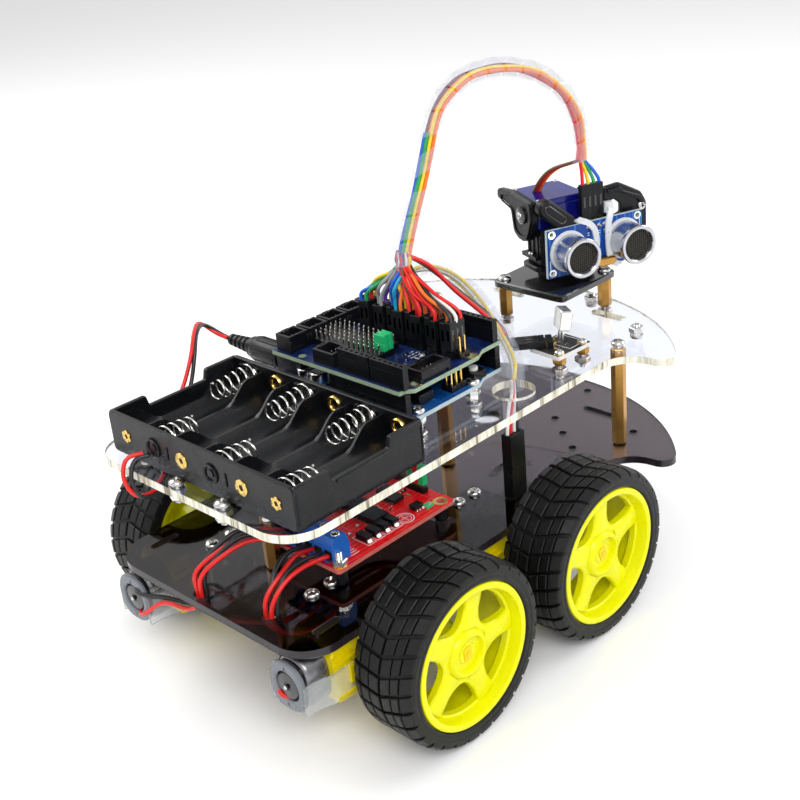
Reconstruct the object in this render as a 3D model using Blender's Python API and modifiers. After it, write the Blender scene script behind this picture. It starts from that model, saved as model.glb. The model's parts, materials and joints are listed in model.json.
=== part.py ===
"""Four wheel robot chassis: two acrylic decks, four gear motors with wheels, battery tray,
controller stack, motor driver and a pan and tilt sensor head. Metres, +X forward, +Z up,
ground at Z = 0, the middle of the bounding box on the Z axis."""

import math

import bmesh
import bpy
from mathutils import Matrix, Vector

MM = 0.001
GAP = 0.3 * MM

# Overall placing: the axles' midpoint lies behind the middle of the whole object.
MID_X = -25.7 * MM

# Wheels and motors.
WHEEL_BASE = 75.0 * MM
WHEEL_RADIUS = 33.0 * MM
WHEEL_WIDTH = 26.0 * MM
TRACK_OUTER = 163.0 * MM
RIM_RADIUS = 26.0 * MM
RIM_WALL = 1.6 * MM
HUB_RADIUS = 7.5 * MM
HUB_BORE = 3.0 * MM
SPOKE_COUNT = 5
SPOKE_HALF_WIDTH = 4.4 * MM
WHEEL_STEPS = 40
AXLE_RADIUS = 2.7 * MM
GEARBOX_HEIGHT = 22.3 * MM
GEARBOX_DEPTH = 18.8 * MM
GEARBOX_OUTER_Y = 51.5 * MM
GEARBOX_FRONT = 11.0 * MM
GEARBOX_REAR = 36.5 * MM
GEARBOX_CORNER = 3.5 * MM
GEARBOX_TAB = (5.0 * MM, 3.0 * MM, 6.0 * MM)
MOUNT_HOLE_BACK = 20.3 * MM
MOUNT_HOLE_SPREAD = 17.5 * MM
MOUNT_BOLT_RADIUS = 1.5 * MM
CAN_LENGTH = 23.0 * MM
CAN_SHOWN = 10.6 * MM
CAN_HEIGHT = 19.4 * MM
CAN_DEPTH = 15.0 * MM
CAN_CORNER = 7.0 * MM
CAN_BOSS_RADIUS = 5.0 * MM
CAN_BOSS_LENGTH = 1.4 * MM
BRACKET_SIZE = (23.0 * MM, 12.0 * MM, 14.7 * MM)
BRACKET_BACK = 17.0 * MM

# Decks.
DECK_THICK = 3.0 * MM
LOWER_DECK_Z = 44.4 * MM
DECK_SPACING = 43.0 * MM
UPPER_DECK_Z = LOWER_DECK_Z + DECK_SPACING
DECK_TOP = UPPER_DECK_Z + DECK_THICK
DECK_REAR = -85.5 * MM
DECK_HALF_WIDTH = 53.0 * MM
DECK_CORNER = 14.0 * MM
FLARE_START = 72.0 * MM
FLARE_RADIUS = 14.0 * MM
TIP_CENTRE = (91.5 * MM, 67.0 * MM)
TIP_RADIUS = 5.5 * MM
FRONT_CENTRE_X = 40.0 * MM
FRONT_RADIUS = 90.0 * MM
SCREW_HOLE = 1.6 * MM
CABLE_HOLE = 8.0 * MM
STANDOFF_RADIUS = 3.0 * MM
HOLE_SPOTS = {
    "lower_deck": ((101, 45), (101, -45), (93, 12), (93, -12), (122, 8), (122, -8), (76, -34), (76, 34)),
    "upper_deck": ((104, 46), (104, -46), (120, -8), (-78, 30), (-78, -34)),
}
LARGE_HOLES = {
    "lower_deck": ((75.0 * MM, 9.0 * MM), 6.0 * MM),
    "upper_deck": ((36.0 * MM, -40.0 * MM), CABLE_HOLE),
}
STANDOFF_SPOTS = {
    "front_left": (90.0 * MM, 48.0 * MM),
    "front_right": (90.0 * MM, -48.0 * MM),
    "rear": (-55.0 * MM, -3.0 * MM),
    "middle": (37.0 * MM, -3.0 * MM),
}

# Battery tray for six cells side by side.
TRAY_LENGTH = 57.0 * MM
TRAY_WIDTH = 96.0 * MM
TRAY_HEIGHT = 15.5 * MM
TRAY_X = -51.5 * MM
TRAY_Y = -3.0 * MM
TRAY_WALL = 1.8 * MM
CELL_COUNT = 6
CELL_PITCH = 15.4 * MM
CELL_RADIUS = 7.3 * MM
TRAY_FLOOR = 1.5 * MM
NOTCH_LENGTH = 26.0 * MM
NOTCH_DEPTH = 4.0 * MM

# Controller, shield and their fittings. The long side lies along Y.
BOARD_LENGTH = 68.6 * MM
BOARD_WIDTH = 53.3 * MM
BOARD_THICK = 1.6 * MM
BOARD_X = 11.5 * MM
BOARD_Y = -1.5 * MM
BOARD_Z = DECK_TOP + 5.0 * MM
BOARD_TOP = BOARD_Z + BOARD_THICK
HEADER_WIDTH = 2.5 * MM
HEADER_HEIGHT = 8.5 * MM
HEADERS = (("rear", 2.54 * MM, 38.0 * MM, -14.0 * MM), ("front", 50.8 * MM, 46.0 * MM, -9.0 * MM))
PIN_PITCH = 2.54 * MM
CHAMFER_BACK = 37.85 * MM
USB_SIZE = (12.0 * MM, 16.0 * MM, 8.0 * MM)
USB_BACK = 38.1 * MM
JACK_SIZE = (9.0 * MM, 13.5 * MM, 8.2 * MM)
JACK_BACK = 7.6 * MM
JACK_BORE = 3.0 * MM
PLUG_RADIUS = 5.0 * MM
PLUG_LENGTH = 20.0 * MM
PLUG_PIN_RADIUS = 2.6 * MM
PLUG_PIN_LENGTH = 9.0 * MM
RELIEF_RADIUS = 3.0 * MM
RELIEF_LENGTH = 14.0 * MM
SOCKET_ROW_SIZE = (51.0 * MM, 8.0 * MM, 6.5 * MM)
PLUG_ROW_SIZE = (8.0 * MM, 42.0 * MM, 13.0 * MM)
PLUG_ROW_SPOT = (18.5 * MM, -7.0 * MM)
SHIELD_Z = BOARD_TOP + HEADER_HEIGHT + 2 * GAP
SHIELD_TOP = SHIELD_Z + BOARD_THICK

# Motor driver between the decks.
DRIVER_SIZE = (59.0 * MM, 38.0 * MM)
DRIVER_X = -21.5 * MM
DRIVER_Y = -14.0 * MM
DRIVER_Z = LOWER_DECK_Z + DECK_THICK + 6.0 * MM
TERMINAL_SIZE = (8.0 * MM, 30.0 * MM, 10.0 * MM)
TERMINAL_INSET = 5.0 * MM

# Infrared module on the upper deck, and the line sensor's plug on the lower one.
INFRARED_SIZE = (18.5 * MM, 15.0 * MM)
INFRARED_SPOT = (69.2 * MM, -36.0 * MM)
INFRARED_LIFT = 3.0 * MM
RECEIVER_SIZE = (5.0 * MM, 7.5 * MM, 9.0 * MM)
RECEIVER_SPOT = (72.5 * MM, -33.5 * MM)
LINE_PLUG_SIZE = (8.0 * MM, 5.0 * MM, 27.0 * MM)
LINE_PLUG_SPOT = (33.0 * MM, -41.0 * MM)

# Pan and tilt head.
PLATE_SIZE = 36.5 * MM
PLATE_X = 105.3 * MM
PLATE_Y = -5.8 * MM
PLATE_Z = DECK_TOP + 12.6 * MM
PLATE_TOP = PLATE_Z + DECK_THICK
PLATE_HOLE = 14.5 * MM
PLATE_CORNER = 3.0 * MM
PAN_BASE_RADIUS = 9.0 * MM
PAN_BASE_HEIGHT = 3.0 * MM
HOUSING_LOW = (13.0 * MM, 28.0 * MM, 7.0 * MM)
HOUSING_TOP = (13.0 * MM, 23.0 * MM, 12.0 * MM)
SERVO_SIZE = (22.8 * MM, 22.7 * MM, 12.2 * MM)
SERVO_SHIFT = (-5.5 * MM, -1.2 * MM)
SERVO_BOSS = (3.0 * MM, 9.0 * MM, 13.5 * MM)
YOKE_SIDE = (12.9 * MM, 17.0 * MM)
YOKE_OUTLINE = ((-20, 4), (-20, 7), (8, 7), (8, -2), (4, -10), (-2, -12), (-7, -9), (-9, 1))
PAN_X = 111.0 * MM
PAN_Y = -4.0 * MM
PAN_REST = math.radians(-111.0)
TILT_Z = PLATE_TOP + 27.0 * MM
SENSOR_FRONT = 14.0 * MM
SENSOR_SIDE = 9.0 * MM
SENSOR_Z = PLATE_TOP + 13.0 * MM
SENSOR_SIZE = (45.0 * MM, 20.0 * MM)
SENSOR_THICK = 1.6 * MM
EYE_SPACING = 26.0 * MM
EYE_RADIUS = 8.0 * MM
EYE_DEPTH = 12.0 * MM
SENSOR_PLUG_SIZE = (2.6 * MM, 10.4 * MM, 14.0 * MM)
SENSOR_PLUG_SIDE = 0.6 * MM
CRADLE_SIZE = (2.0 * MM, 21.0 * MM, 26.0 * MM)
CRADLE_ARM_SIZE = (24.0 * MM, 2.0 * MM, 9.0 * MM)
CRADLE_Y = 26.3 * MM
CRADLE_ARM_Y = 17.2 * MM

# Cords. The knots of their routes are in millimetres about the axles' midpoint.
CABLE_RADIUS = 3.6 * MM
LEAD_RADIUS = 1.5 * MM
SENSOR_ROUTE = (
    (20, -4, 125),
    (21, -5, 140),
    (29, -5, 159),
    (35, -5, 172),
    (43, -5, 188),
    (54, -5, 195),
    (67, -5, 197),
    (80, -6, 196),
    (96, -8, 191),
    (107, -12, 182),
    (112, -15, 171),
    (113, -16, 158),
    (111, -17, 150),
)
LINE_ROUTE = (
    (20, 6, 125),
    (30, 6, 128),
    (43, 6, 127),
    (54.5, 4, 120.5),
    (58.5, -6, 110),
    (50, -25, 101),
    (40, -38, 96),
    (36, -40, 88),
    (34, -41, 79),
)
LEAD_ROUTE = (
    (-80.9, 25, 95),
    (-85.5, 27, 94.5),
    (-88.7, 26, 89),
    (-87.6, 21, 83.5),
    (-82, 18, 82),
    (-74, 24, 83),
    (-60, 42, 83),
    (-46, 57, 85),
    (-36, 60, 94),
    (-30, 62, 104),
    (-24, 67, 110),
    (-14, 76, 108),
)


def clear_scene():
    for obj in list(bpy.data.objects):
        bpy.data.objects.remove(obj, do_unlink=True)
    for group in list(bpy.data.collections):
        bpy.data.collections.remove(group)


def new_collection(name):
    group = bpy.data.collections.new(name)
    bpy.context.scene.collection.children.link(group)
    return group


clear_scene()
PARTS = new_collection("four_wheel_robot_chassis")
CUTTERS = new_collection("cutters")


def material(name, colour, roughness, metallic=0.0):
    """A Principled material with one colour, made once for each name."""
    found = bpy.data.materials.get(name)
    if found:
        return found
    made = bpy.data.materials.new(name)
    made.use_nodes = True
    shader = made.node_tree.nodes["Principled BSDF"]
    shader.inputs["Base Color"].default_value = (*colour, 1.0)
    shader.inputs["Roughness"].default_value = roughness
    shader.inputs["Metallic"].default_value = metallic
    made.diffuse_color = (*colour, 1.0)
    return made


SMOKED = material("smoked_acrylic", (0.03, 0.025, 0.03), 0.1)
CLEAR = material("clear_acrylic", (0.8, 0.82, 0.88), 0.05)
YELLOW = material("yellow_plastic", (0.85, 0.75, 0.02), 0.4)
RUBBER = material("black_rubber", (0.03, 0.03, 0.03), 0.8)
STEEL = material("steel", (0.6, 0.6, 0.6), 0.3, 1.0)
ALUMINIUM = material("aluminium", (0.75, 0.75, 0.76), 0.35, 1.0)
BRASS = material("brass", (0.7, 0.45, 0.12), 0.3, 1.0)
BLACK = material("black_plastic", (0.02, 0.02, 0.022), 0.5)
BLUE_BOARD = material("blue_circuit_board", (0.01, 0.05, 0.35), 0.4)
RED_BOARD = material("red_circuit_board", (0.7, 0.01, 0.01), 0.4)
BLACK_BOARD = material("black_circuit_board", (0.02, 0.02, 0.02), 0.4)
BLUE_PLASTIC = material("blue_plastic", (0.02, 0.1, 0.8), 0.35)
CABLE = material("cable_sleeve", (0.75, 0.25, 0.2), 0.4)
LEAD = material("lead_insulation", (0.5, 0.02, 0.02), 0.5)
SILVER = material("silver_case", (0.8, 0.8, 0.8), 0.25, 1.0)


def add_object(name, bm, surface, group, origin=(0, 0, 0), smooth=False):
    """Turns the bmesh, drawn about `origin`, into an object standing there."""
    bmesh.ops.recalc_face_normals(bm, faces=bm.faces)
    mesh = bpy.data.meshes.new(name)
    bm.to_mesh(mesh)
    bm.free()
    obj = bpy.data.objects.new(name, mesh)
    group.objects.link(obj)
    obj.location = Vector(origin)
    if surface:
        mesh.materials.append(surface)
    if smooth:
        mesh.shade_smooth()
    if group is CUTTERS:
        obj.hide_render = True
        obj.display_type = "WIRE"
    return obj


def box(name, size, centre, surface=None, group=None, origin=None, bevel=0.0):
    """A box of `size` about `centre`, with its origin at `origin` when one is given."""
    bm = bmesh.new()
    bmesh.ops.create_cube(bm, size=1.0)
    bmesh.ops.scale(bm, vec=Vector(size), verts=bm.verts)
    base = Vector(origin) if origin is not None else Vector(centre)
    bmesh.ops.translate(bm, vec=Vector(centre) - base, verts=bm.verts)
    obj = add_object(name, bm, surface, group or PARTS, base)
    if bevel:
        edge = obj.modifiers.new("bevel", "BEVEL")
        edge.width = bevel
        edge.segments = 1
        edge.limit_method = "ANGLE"
    return obj


def prism(name, outline, low, high, surface=None, group=None, origin=(0, 0, 0), turn=None):
    """A straight prism over a closed XY outline, from `low` to `high`, then turned."""
    bm = bmesh.new()
    rings = []
    for height in (low, high):
        rings.append([bm.verts.new((x, y, height)) for x, y in outline])
    bm.faces.new(list(reversed(rings[0])))
    bm.faces.new(rings[1])
    count = len(outline)
    for index in range(count):
        after = (index + 1) % count
        bm.faces.new((rings[0][index], rings[0][after], rings[1][after], rings[1][index]))
    if turn is not None:
        bmesh.ops.transform(bm, matrix=turn, verts=bm.verts)
    return add_object(name, bm, surface, group or PARTS, origin)


def circle_points(radius, count, centre=(0.0, 0.0), phase=0.0):
    return [
        (
            centre[0] + radius * math.cos(phase + 2 * math.pi * step / count),
            centre[1] + radius * math.sin(phase + 2 * math.pi * step / count),
        )
        for step in range(count)
    ]


def arc_points(centre, radius, start, end, count):
    """Points along an arc, both ends included, angles in degrees."""
    points = []
    for step in range(count + 1):
        angle = math.radians(start + (end - start) * step / count)
        points.append((centre[0] + radius * math.cos(angle), centre[1] + radius * math.sin(angle)))
    return points


def rounded_rectangle(width, height, radius, count=3):
    """Outline of a rectangle about the origin with rounded corners."""
    points = []
    for sign_x, sign_y, start in ((1, 1, 0), (-1, 1, 90), (-1, -1, 180), (1, -1, 270)):
        centre = (sign_x * (width / 2 - radius), sign_y * (height / 2 - radius))
        points += arc_points(centre, radius, start, start + 90, count)
    return points


def rod(name, radius, low, high, spot, surface=None, group=None, sides=16, turn=None):
    """An upright round or many-sided rod at an XY spot, or turned about its origin."""
    outline = circle_points(radius, sides)
    return prism(name, outline, low, high, surface, group, (*spot, 0.0), turn)


def lathe(name, profile, steps, surface, group=None):
    """A closed (radius, height) loop turned about Z by a Screw modifier."""
    bm = bmesh.new()
    verts = [bm.verts.new((radius, 0.0, height)) for radius, height in profile]
    for index, vert in enumerate(verts):
        bm.edges.new((vert, verts[(index + 1) % len(verts)]))
    obj = add_object(name, bm, surface, group or PARTS)
    screw = obj.modifiers.new("screw", "SCREW")
    screw.steps = steps
    screw.render_steps = steps
    screw.use_merge_vertices = True
    screw.merge_threshold = 0.00001
    screw.use_smooth_shade = True
    return obj


def combine(obj, other, operation):
    step = obj.modifiers.new(operation.lower(), "BOOLEAN")
    step.operation = operation
    step.solver = "EXACT"
    step.object = other


def cut(obj, *others):
    for other in others:
        combine(obj, other, "DIFFERENCE")


def join(obj, *others):
    for other in others:
        combine(obj, other, "UNION")


def tube(name, points, radius, surface, resolution=2):
    """A closed tube along the points, as a mesh."""
    curve = bpy.data.curves.new(name, "CURVE")
    curve.dimensions = "3D"
    curve.bevel_depth = radius
    curve.bevel_resolution = resolution
    curve.use_fill_caps = True
    line = curve.splines.new("POLY")
    line.points.add(len(points) - 1)
    for target, point in zip(line.points, points):
        target.co = (*point, 1.0)
    line.use_smooth = True
    guide = bpy.data.objects.new(name + "_curve", curve)
    PARTS.objects.link(guide)
    graph = bpy.context.evaluated_depsgraph_get()
    mesh = bpy.data.meshes.new_from_object(guide.evaluated_get(graph))
    bpy.data.objects.remove(guide, do_unlink=True)
    bm = bmesh.new()
    bm.from_mesh(mesh)
    bpy.data.meshes.remove(mesh)
    bmesh.ops.remove_doubles(bm, verts=bm.verts, dist=0.000001)
    return add_object(name, bm, surface, PARTS, smooth=True)


def smooth_route(knots, count):
    """Catmull-Rom points through the knots, `count` for each span."""
    path = [Vector(knot) for knot in knots]
    ends = [2 * path[0] - path[1]] + path + [2 * path[-1] - path[-2]]
    points = []
    for index in range(1, len(ends) - 2):
        before, start, end, after = ends[index - 1 : index + 3]
        for step in range(count):
            t = step / count
            points.append(
                0.5
                * (
                    2 * start
                    + (end - before) * t
                    + (2 * before - 5 * start + 4 * end - after) * t * t
                    + (3 * start - before - 3 * end + after) * t * t * t
                )
            )
    points.append(path[-1])
    return points


def hinge_frame(name, spot, turn=0.0, parent=None):
    """An empty on a joint's axis. Its children are drawn in its own frame."""
    frame = bpy.data.objects.new(name, None)
    PARTS.objects.link(frame)
    frame.location = Vector(spot)
    frame.rotation_euler = (0.0, 0.0, turn)
    if parent:
        frame.parent = parent
    return frame


def deck_outline():
    """The deck's outline about the axles' midpoint: straight sides and a wide arched front."""
    half = [(DECK_REAR, 0.0)]
    corner = (DECK_REAR + DECK_CORNER, DECK_HALF_WIDTH - DECK_CORNER)
    half += arc_points(corner, DECK_CORNER, 180, 90, 6)
    flare = (FLARE_START, DECK_HALF_WIDTH + FLARE_RADIUS)
    half += arc_points(flare, FLARE_RADIUS, -90, -12, 6)
    half += arc_points(TIP_CENTRE, TIP_RADIUS, 178, 58, 5)
    half += arc_points((FRONT_CENTRE_X, 0.0), FRONT_RADIUS, 52, 0, 14)
    other = [(x, -y) for x, y in reversed(half[1:-1])]
    return [(x + MID_X, y) for x, y in half + other]


def hole_cutter(name, spot, radius, low, high, sides=16):
    return rod(name, radius, low, high, (spot[0] + MID_X, spot[1]), None, CUTTERS, sides)


def decks():
    outline = deck_outline()
    for name, low, surface in (
        ("lower_deck", LOWER_DECK_Z, SMOKED),
        ("upper_deck", UPPER_DECK_Z, CLEAR),
    ):
        deck = prism(name, outline, low, low + DECK_THICK, surface)
        holes = [LARGE_HOLES[name]]
        holes += [((x * MM, y * MM), SCREW_HOLE) for x, y in HOLE_SPOTS[name]]
        for number, (spot, radius) in enumerate(holes):
            label = f"{name}_hole_{number}"
            cut(deck, hole_cutter(label, spot, radius, low - MM, low + DECK_THICK + MM, 12))
    low = LOWER_DECK_Z + DECK_THICK + GAP
    high = UPPER_DECK_Z - GAP
    for name, (x, y) in STANDOFF_SPOTS.items():
        rod("deck_standoff_" + name, STANDOFF_RADIUS, low, high, (x + MID_X, y), BRASS, sides=6)


def wheel_spots():
    """(name, axle X, side) of each wheel; side is +1 on the left."""
    for end, sign in (("front", 1), ("rear", -1)):
        for hand, side in (("left", 1), ("right", -1)):
            yield f"{end}_{hand}", MID_X + sign * WHEEL_BASE / 2, side


def spoke_cutter(name, index):
    """One rounded opening between two spokes, about the wheel's axis."""
    inner = HUB_RADIUS + 2.6 * MM
    outer = RIM_RADIUS - RIM_WALL - 1.9 * MM
    middle = 2 * math.pi * (index + 0.5) / SPOKE_COUNT
    half_inner = math.pi / SPOKE_COUNT - math.asin(SPOKE_HALF_WIDTH / inner)
    half_outer = math.pi / SPOKE_COUNT - math.asin(SPOKE_HALF_WIDTH / outer)
    points = []
    for step in range(7):
        angle = middle - half_outer + 2 * half_outer * step / 6
        reach = outer - (1.6 * MM if step in (0, 6) else 0.0)
        points.append((reach * math.cos(angle), reach * math.sin(angle)))
    for step in range(3):
        angle = middle + half_inner - half_inner * step
        reach = inner - (0.8 * MM if step == 1 else 0.0)
        points.append((reach * math.cos(angle), reach * math.sin(angle)))
    return prism(name, points, -12.0 * MM, 1.0 * MM, None, CUTTERS)


def wheels():
    """Tyres and rims, drawn with the outer face at Z = 0 and turned to face outwards."""
    radius = WHEEL_RADIUS / math.cos(math.pi / WHEEL_STEPS)
    seat = RIM_RADIUS + GAP
    width = WHEEL_WIDTH
    shoulder = [(radius - 2.6 * MM, -0.2 * MM), (radius - 0.8 * MM, -1.4 * MM), (radius, -3.6 * MM)]
    groove = [(radius, -12.2 * MM), (radius - 1.2 * MM, -12.5 * MM)]
    tyre = shoulder + groove
    tyre += [(r, -width - z) for r, z in reversed(shoulder + groove)]
    tyre += [(seat + 0.8 * MM, -width + 0.2 * MM), (seat, -width + 1.0 * MM)]
    tyre += [(seat, -1.0 * MM), (seat + 0.8 * MM, -0.2 * MM)]
    wall = RIM_RADIUS - RIM_WALL
    web_top = -4.6 * MM
    web_low = -7.6 * MM
    rim = [
        (RIM_RADIUS, -1.4 * MM),
        (RIM_RADIUS, -width + 1.4 * MM),
        (wall, -width + 1.4 * MM),
        (wall, web_low),
        (HUB_RADIUS, web_low),
        (HUB_RADIUS, -22.0 * MM),
        (HUB_BORE, -22.0 * MM),
        (HUB_BORE, -2.6 * MM),
        (HUB_RADIUS - 0.8 * MM, -2.6 * MM),
        (HUB_RADIUS + 0.6 * MM, web_top),
        (wall - 0.6 * MM, web_top),
        (wall, -1.4 * MM),
    ]
    for name, x, side in wheel_spots():
        frame = hinge_frame("hinge_" + name, (x, side * TRACK_OUTER / 2, WHEEL_RADIUS))
        frame.rotation_euler = (-side * math.pi / 2, 0.0, 0.0)
        ring = lathe("tyre_" + name, tyre, WHEEL_STEPS, RUBBER)
        hub = lathe("wheel_rim_" + name, rim, WHEEL_STEPS, YELLOW)
        for piece in (ring, hub):
            piece.parent = frame
            piece.rotation_euler = (0.0, 0.0, math.pi / WHEEL_STEPS)
        for index in range(SPOKE_COUNT):
            cutter = spoke_cutter(f"spoke_gap_{name}_{index}", index)
            cutter.parent = frame
            cut(hub, cutter)
        reach = TRACK_OUTER / 2 - GEARBOX_OUTER_Y
        inner = reach + GEARBOX_DEPTH + 4.0 * MM
        axle = rod("axle_" + name, AXLE_RADIUS, -inner, -4.0 * MM, (0.0, 0.0), YELLOW)
        axle.parent = frame


def across(name, radius, spot, turn, centre=(0.0, 0.0), reach=GEARBOX_DEPTH / 2 + MM):
    """A round cutter through the gearbox, from side to side."""
    return prism(name, circle_points(radius, 16, centre), -reach, reach, None, CUTTERS, spot, turn)


def gearbox(name, spot):
    """The yellow housing with its shaft and bolt bores, and the pocket the motor sits in."""
    x, centre_y, z = spot
    turn = Matrix.Rotation(math.radians(90), 4, "X")
    length = GEARBOX_FRONT + GEARBOX_REAR
    middle = (GEARBOX_FRONT - GEARBOX_REAR) / 2
    outline = rounded_rectangle(length, GEARBOX_HEIGHT, GEARBOX_CORNER)
    outline = [(px + middle, py) for px, py in outline]
    half = GEARBOX_DEPTH / 2
    body = prism("gearbox_" + name, outline, -half, half, YELLOW, None, spot, turn)
    overlap = 2 * MM
    size = (GEARBOX_TAB[0] + overlap, GEARBOX_TAB[1], GEARBOX_TAB[2])
    tab_x = x + GEARBOX_FRONT + (GEARBOX_TAB[0] - overlap) / 2
    join(body, box("tab_" + name, size, (tab_x, centre_y, z), None, CUTTERS))
    cut(body, across("shaft_bore_" + name, HUB_BORE, spot, turn))
    for label, sign in (("high", 1), ("low", -1)):
        centre = (-MOUNT_HOLE_BACK, sign * MOUNT_HOLE_SPREAD / 2)
        cut(body, across(f"{label}_bore_{name}", MOUNT_BOLT_RADIUS, spot, turn, centre))
    pocket = rounded_rectangle(CAN_HEIGHT + 2 * GAP, CAN_DEPTH + 2 * GAP, CAN_CORNER + GAP, 5)
    mouth = (x - GEARBOX_REAR, centre_y, z)
    depth = CAN_LENGTH - CAN_SHOWN + GAP
    end_on = Matrix.Rotation(math.radians(90), 4, "Y")
    cut(body, prism("pocket_" + name, pocket, -MM, depth, None, CUTTERS, mouth, end_on))


def motor_can(name, spot):
    """The motor, flat-sided, with its round end boss. Part of it is inside the gearbox."""
    x, centre_y, z = spot
    front = x - GEARBOX_REAR + CAN_LENGTH - CAN_SHOWN
    place = (front, centre_y, z)
    end_on = Matrix.Rotation(math.radians(90), 4, "Y")
    oval = rounded_rectangle(CAN_HEIGHT, CAN_DEPTH, CAN_CORNER, 5)
    can = prism("motor_can_" + name, oval, -CAN_LENGTH, 0.0, STEEL, None, place, end_on)
    round_end = circle_points(CAN_BOSS_RADIUS, 20)
    low = -CAN_LENGTH - CAN_BOSS_LENGTH
    boss = prism("can_boss_" + name, round_end, low, MM - CAN_LENGTH, None, CUTTERS, place, end_on)
    join(can, boss)


def motors():
    """Each gear motor lies along X behind its axle, under the lower deck."""
    for name, x, side in wheel_spots():
        low_y = GEARBOX_OUTER_Y - GEARBOX_DEPTH
        spot = (x, side * (low_y + GEARBOX_DEPTH / 2), WHEEL_RADIUS)
        gearbox(name, spot)
        motor_can(name, spot)
        bracket_y = side * (low_y - GAP - BRACKET_SIZE[1] / 2)
        bracket_z = LOWER_DECK_Z - GAP - BRACKET_SIZE[2] / 2
        centre = (x - BRACKET_BACK, bracket_y, bracket_z)
        box("motor_bracket_" + name, BRACKET_SIZE, centre, ALUMINIUM, bevel=0.4 * MM)


def battery_tray():
    """Open tray with six round-bottomed bays; the end walls carry the contacts."""
    low = DECK_TOP + GAP
    high = low + TRAY_HEIGHT
    x = TRAY_X + MID_X
    centre = (x, TRAY_Y, (low + high) / 2)
    tray = box("battery_tray", (TRAY_LENGTH, TRAY_WIDTH, TRAY_HEIGHT), centre, BLACK)
    turn = Matrix.Rotation(math.radians(90), 4, "Y")
    inner = TRAY_LENGTH - 2 * TRAY_WALL
    axis_z = low + TRAY_FLOOR + CELL_RADIUS
    for index in range(CELL_COUNT):
        y = TRAY_Y + (index - (CELL_COUNT - 1) / 2) * CELL_PITCH
        circle = circle_points(CELL_RADIUS, 20, phase=math.pi / 20)
        place = (x, y, axis_z)
        bay = prism(f"bay_{index}", circle, -inner / 2, inner / 2, None, CUTTERS, place, turn)
        cut(tray, bay)
    top_size = (inner, CELL_PITCH * CELL_COUNT - 0.8 * MM, 2 * (high - axis_z))
    notch_size = (NOTCH_LENGTH, TRAY_WIDTH + MM, 2 * NOTCH_DEPTH)
    for name, size in (("tray_top", top_size), ("tray_notch", notch_size)):
        cut(tray, box(name, size, (x, TRAY_Y, high), None, CUTTERS))


def board_outline():
    """The controller's outline, its long side along Y and its socket end on the left."""
    length, width = BOARD_LENGTH, BOARD_WIDTH
    step, chamfer = PIN_PITCH, CHAMFER_BACK
    half = length / 2
    points = [
        (0.0, half),
        (width, half),
        (width, -half + step),
        (chamfer + 2 * step, -half + step),
        (chamfer, -half),
        (2 * step, -half),
        (step, -half + step),
        (0.0, -half + step),
    ]
    return [(x - width / 2 + BOARD_X + MID_X, y + BOARD_Y) for x, y in points]


def controller_stack():
    outline = board_outline()
    prism("controller_board", outline, BOARD_Z, BOARD_TOP, BLUE_BOARD)
    prism("sensor_shield", outline, SHIELD_Z, SHIELD_TOP, BLUE_BOARD)
    rear = BOARD_X + MID_X - BOARD_WIDTH / 2
    left = BOARD_Y + BOARD_LENGTH / 2
    header_z = BOARD_TOP + GAP + HEADER_HEIGHT / 2
    for name, back, length, y in HEADERS:
        size = (HEADER_WIDTH, length, HEADER_HEIGHT)
        box("header_" + name, size, (rear + back, BOARD_Y + y, header_z), BLACK)
    seat = BOARD_TOP + GAP
    usb = (rear + USB_BACK, left - 2.0 * MM, seat + USB_SIZE[2] / 2)
    box("usb_socket", USB_SIZE, usb, SILVER)
    jack = (rear + JACK_BACK, left - 5.0 * MM, seat + JACK_SIZE[2] / 2)
    socket = box("dc_jack", JACK_SIZE, jack, BLACK)
    turn = Matrix.Rotation(math.radians(90), 4, "X")
    bore = circle_points(JACK_BORE, 16)
    cut(socket, prism("jack_mouth", bore, -PLUG_PIN_LENGTH, 3.0 * MM, None, CUTTERS, jack, turn))
    seat = SHIELD_TOP + GAP
    row = (BOARD_X + MID_X, BOARD_Y + 29.0 * MM, seat + SOCKET_ROW_SIZE[2] / 2)
    box("shield_socket_row", SOCKET_ROW_SIZE, row, BLACK, bevel=0.3 * MM)
    plugs = (PLUG_ROW_SPOT[0] + MID_X, PLUG_ROW_SPOT[1], seat + PLUG_ROW_SIZE[2] / 2)
    box("shield_plug_row", PLUG_ROW_SIZE, plugs, BLACK, bevel=0.3 * MM)
    return jack


def power_plug(jack):
    """The plug in the controller's jack, with its thinner ribbed end."""
    turn = Matrix.Rotation(math.radians(-90), 4, "X")
    start = jack[1] + JACK_SIZE[1] / 2 + GAP
    spot = (jack[0], start, jack[2])
    end = PLUG_LENGTH + RELIEF_LENGTH
    rods = (
        ("dc_plug", PLUG_RADIUS, 20, 0.0, PLUG_LENGTH),
        ("dc_pin", PLUG_PIN_RADIUS, 16, -PLUG_PIN_LENGTH, MM),
        ("dc_relief", RELIEF_RADIUS, 16, PLUG_LENGTH - MM, end),
    )
    made = []
    for name, radius, sides, low, high in rods:
        surface, group = (None, CUTTERS) if made else (BLACK, PARTS)
        outline = circle_points(radius, sides)
        made.append(prism(name, outline, low, high, surface, group, spot, turn))
    join(*made)
    return Vector((jack[0], start + end, jack[2]))


def motor_driver():
    x, y = DRIVER_X + MID_X, DRIVER_Y
    size = (*DRIVER_SIZE, BOARD_THICK)
    box("motor_driver_board", size, (x, y, DRIVER_Z + BOARD_THICK / 2), RED_BOARD)
    top = DRIVER_Z + BOARD_THICK + GAP
    block_x = x - DRIVER_SIZE[0] / 2 + TERMINAL_INSET
    centre = (block_x, y - MM, top + TERMINAL_SIZE[2] / 2)
    box("driver_terminals", TERMINAL_SIZE, centre, BLUE_PLASTIC)


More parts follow.
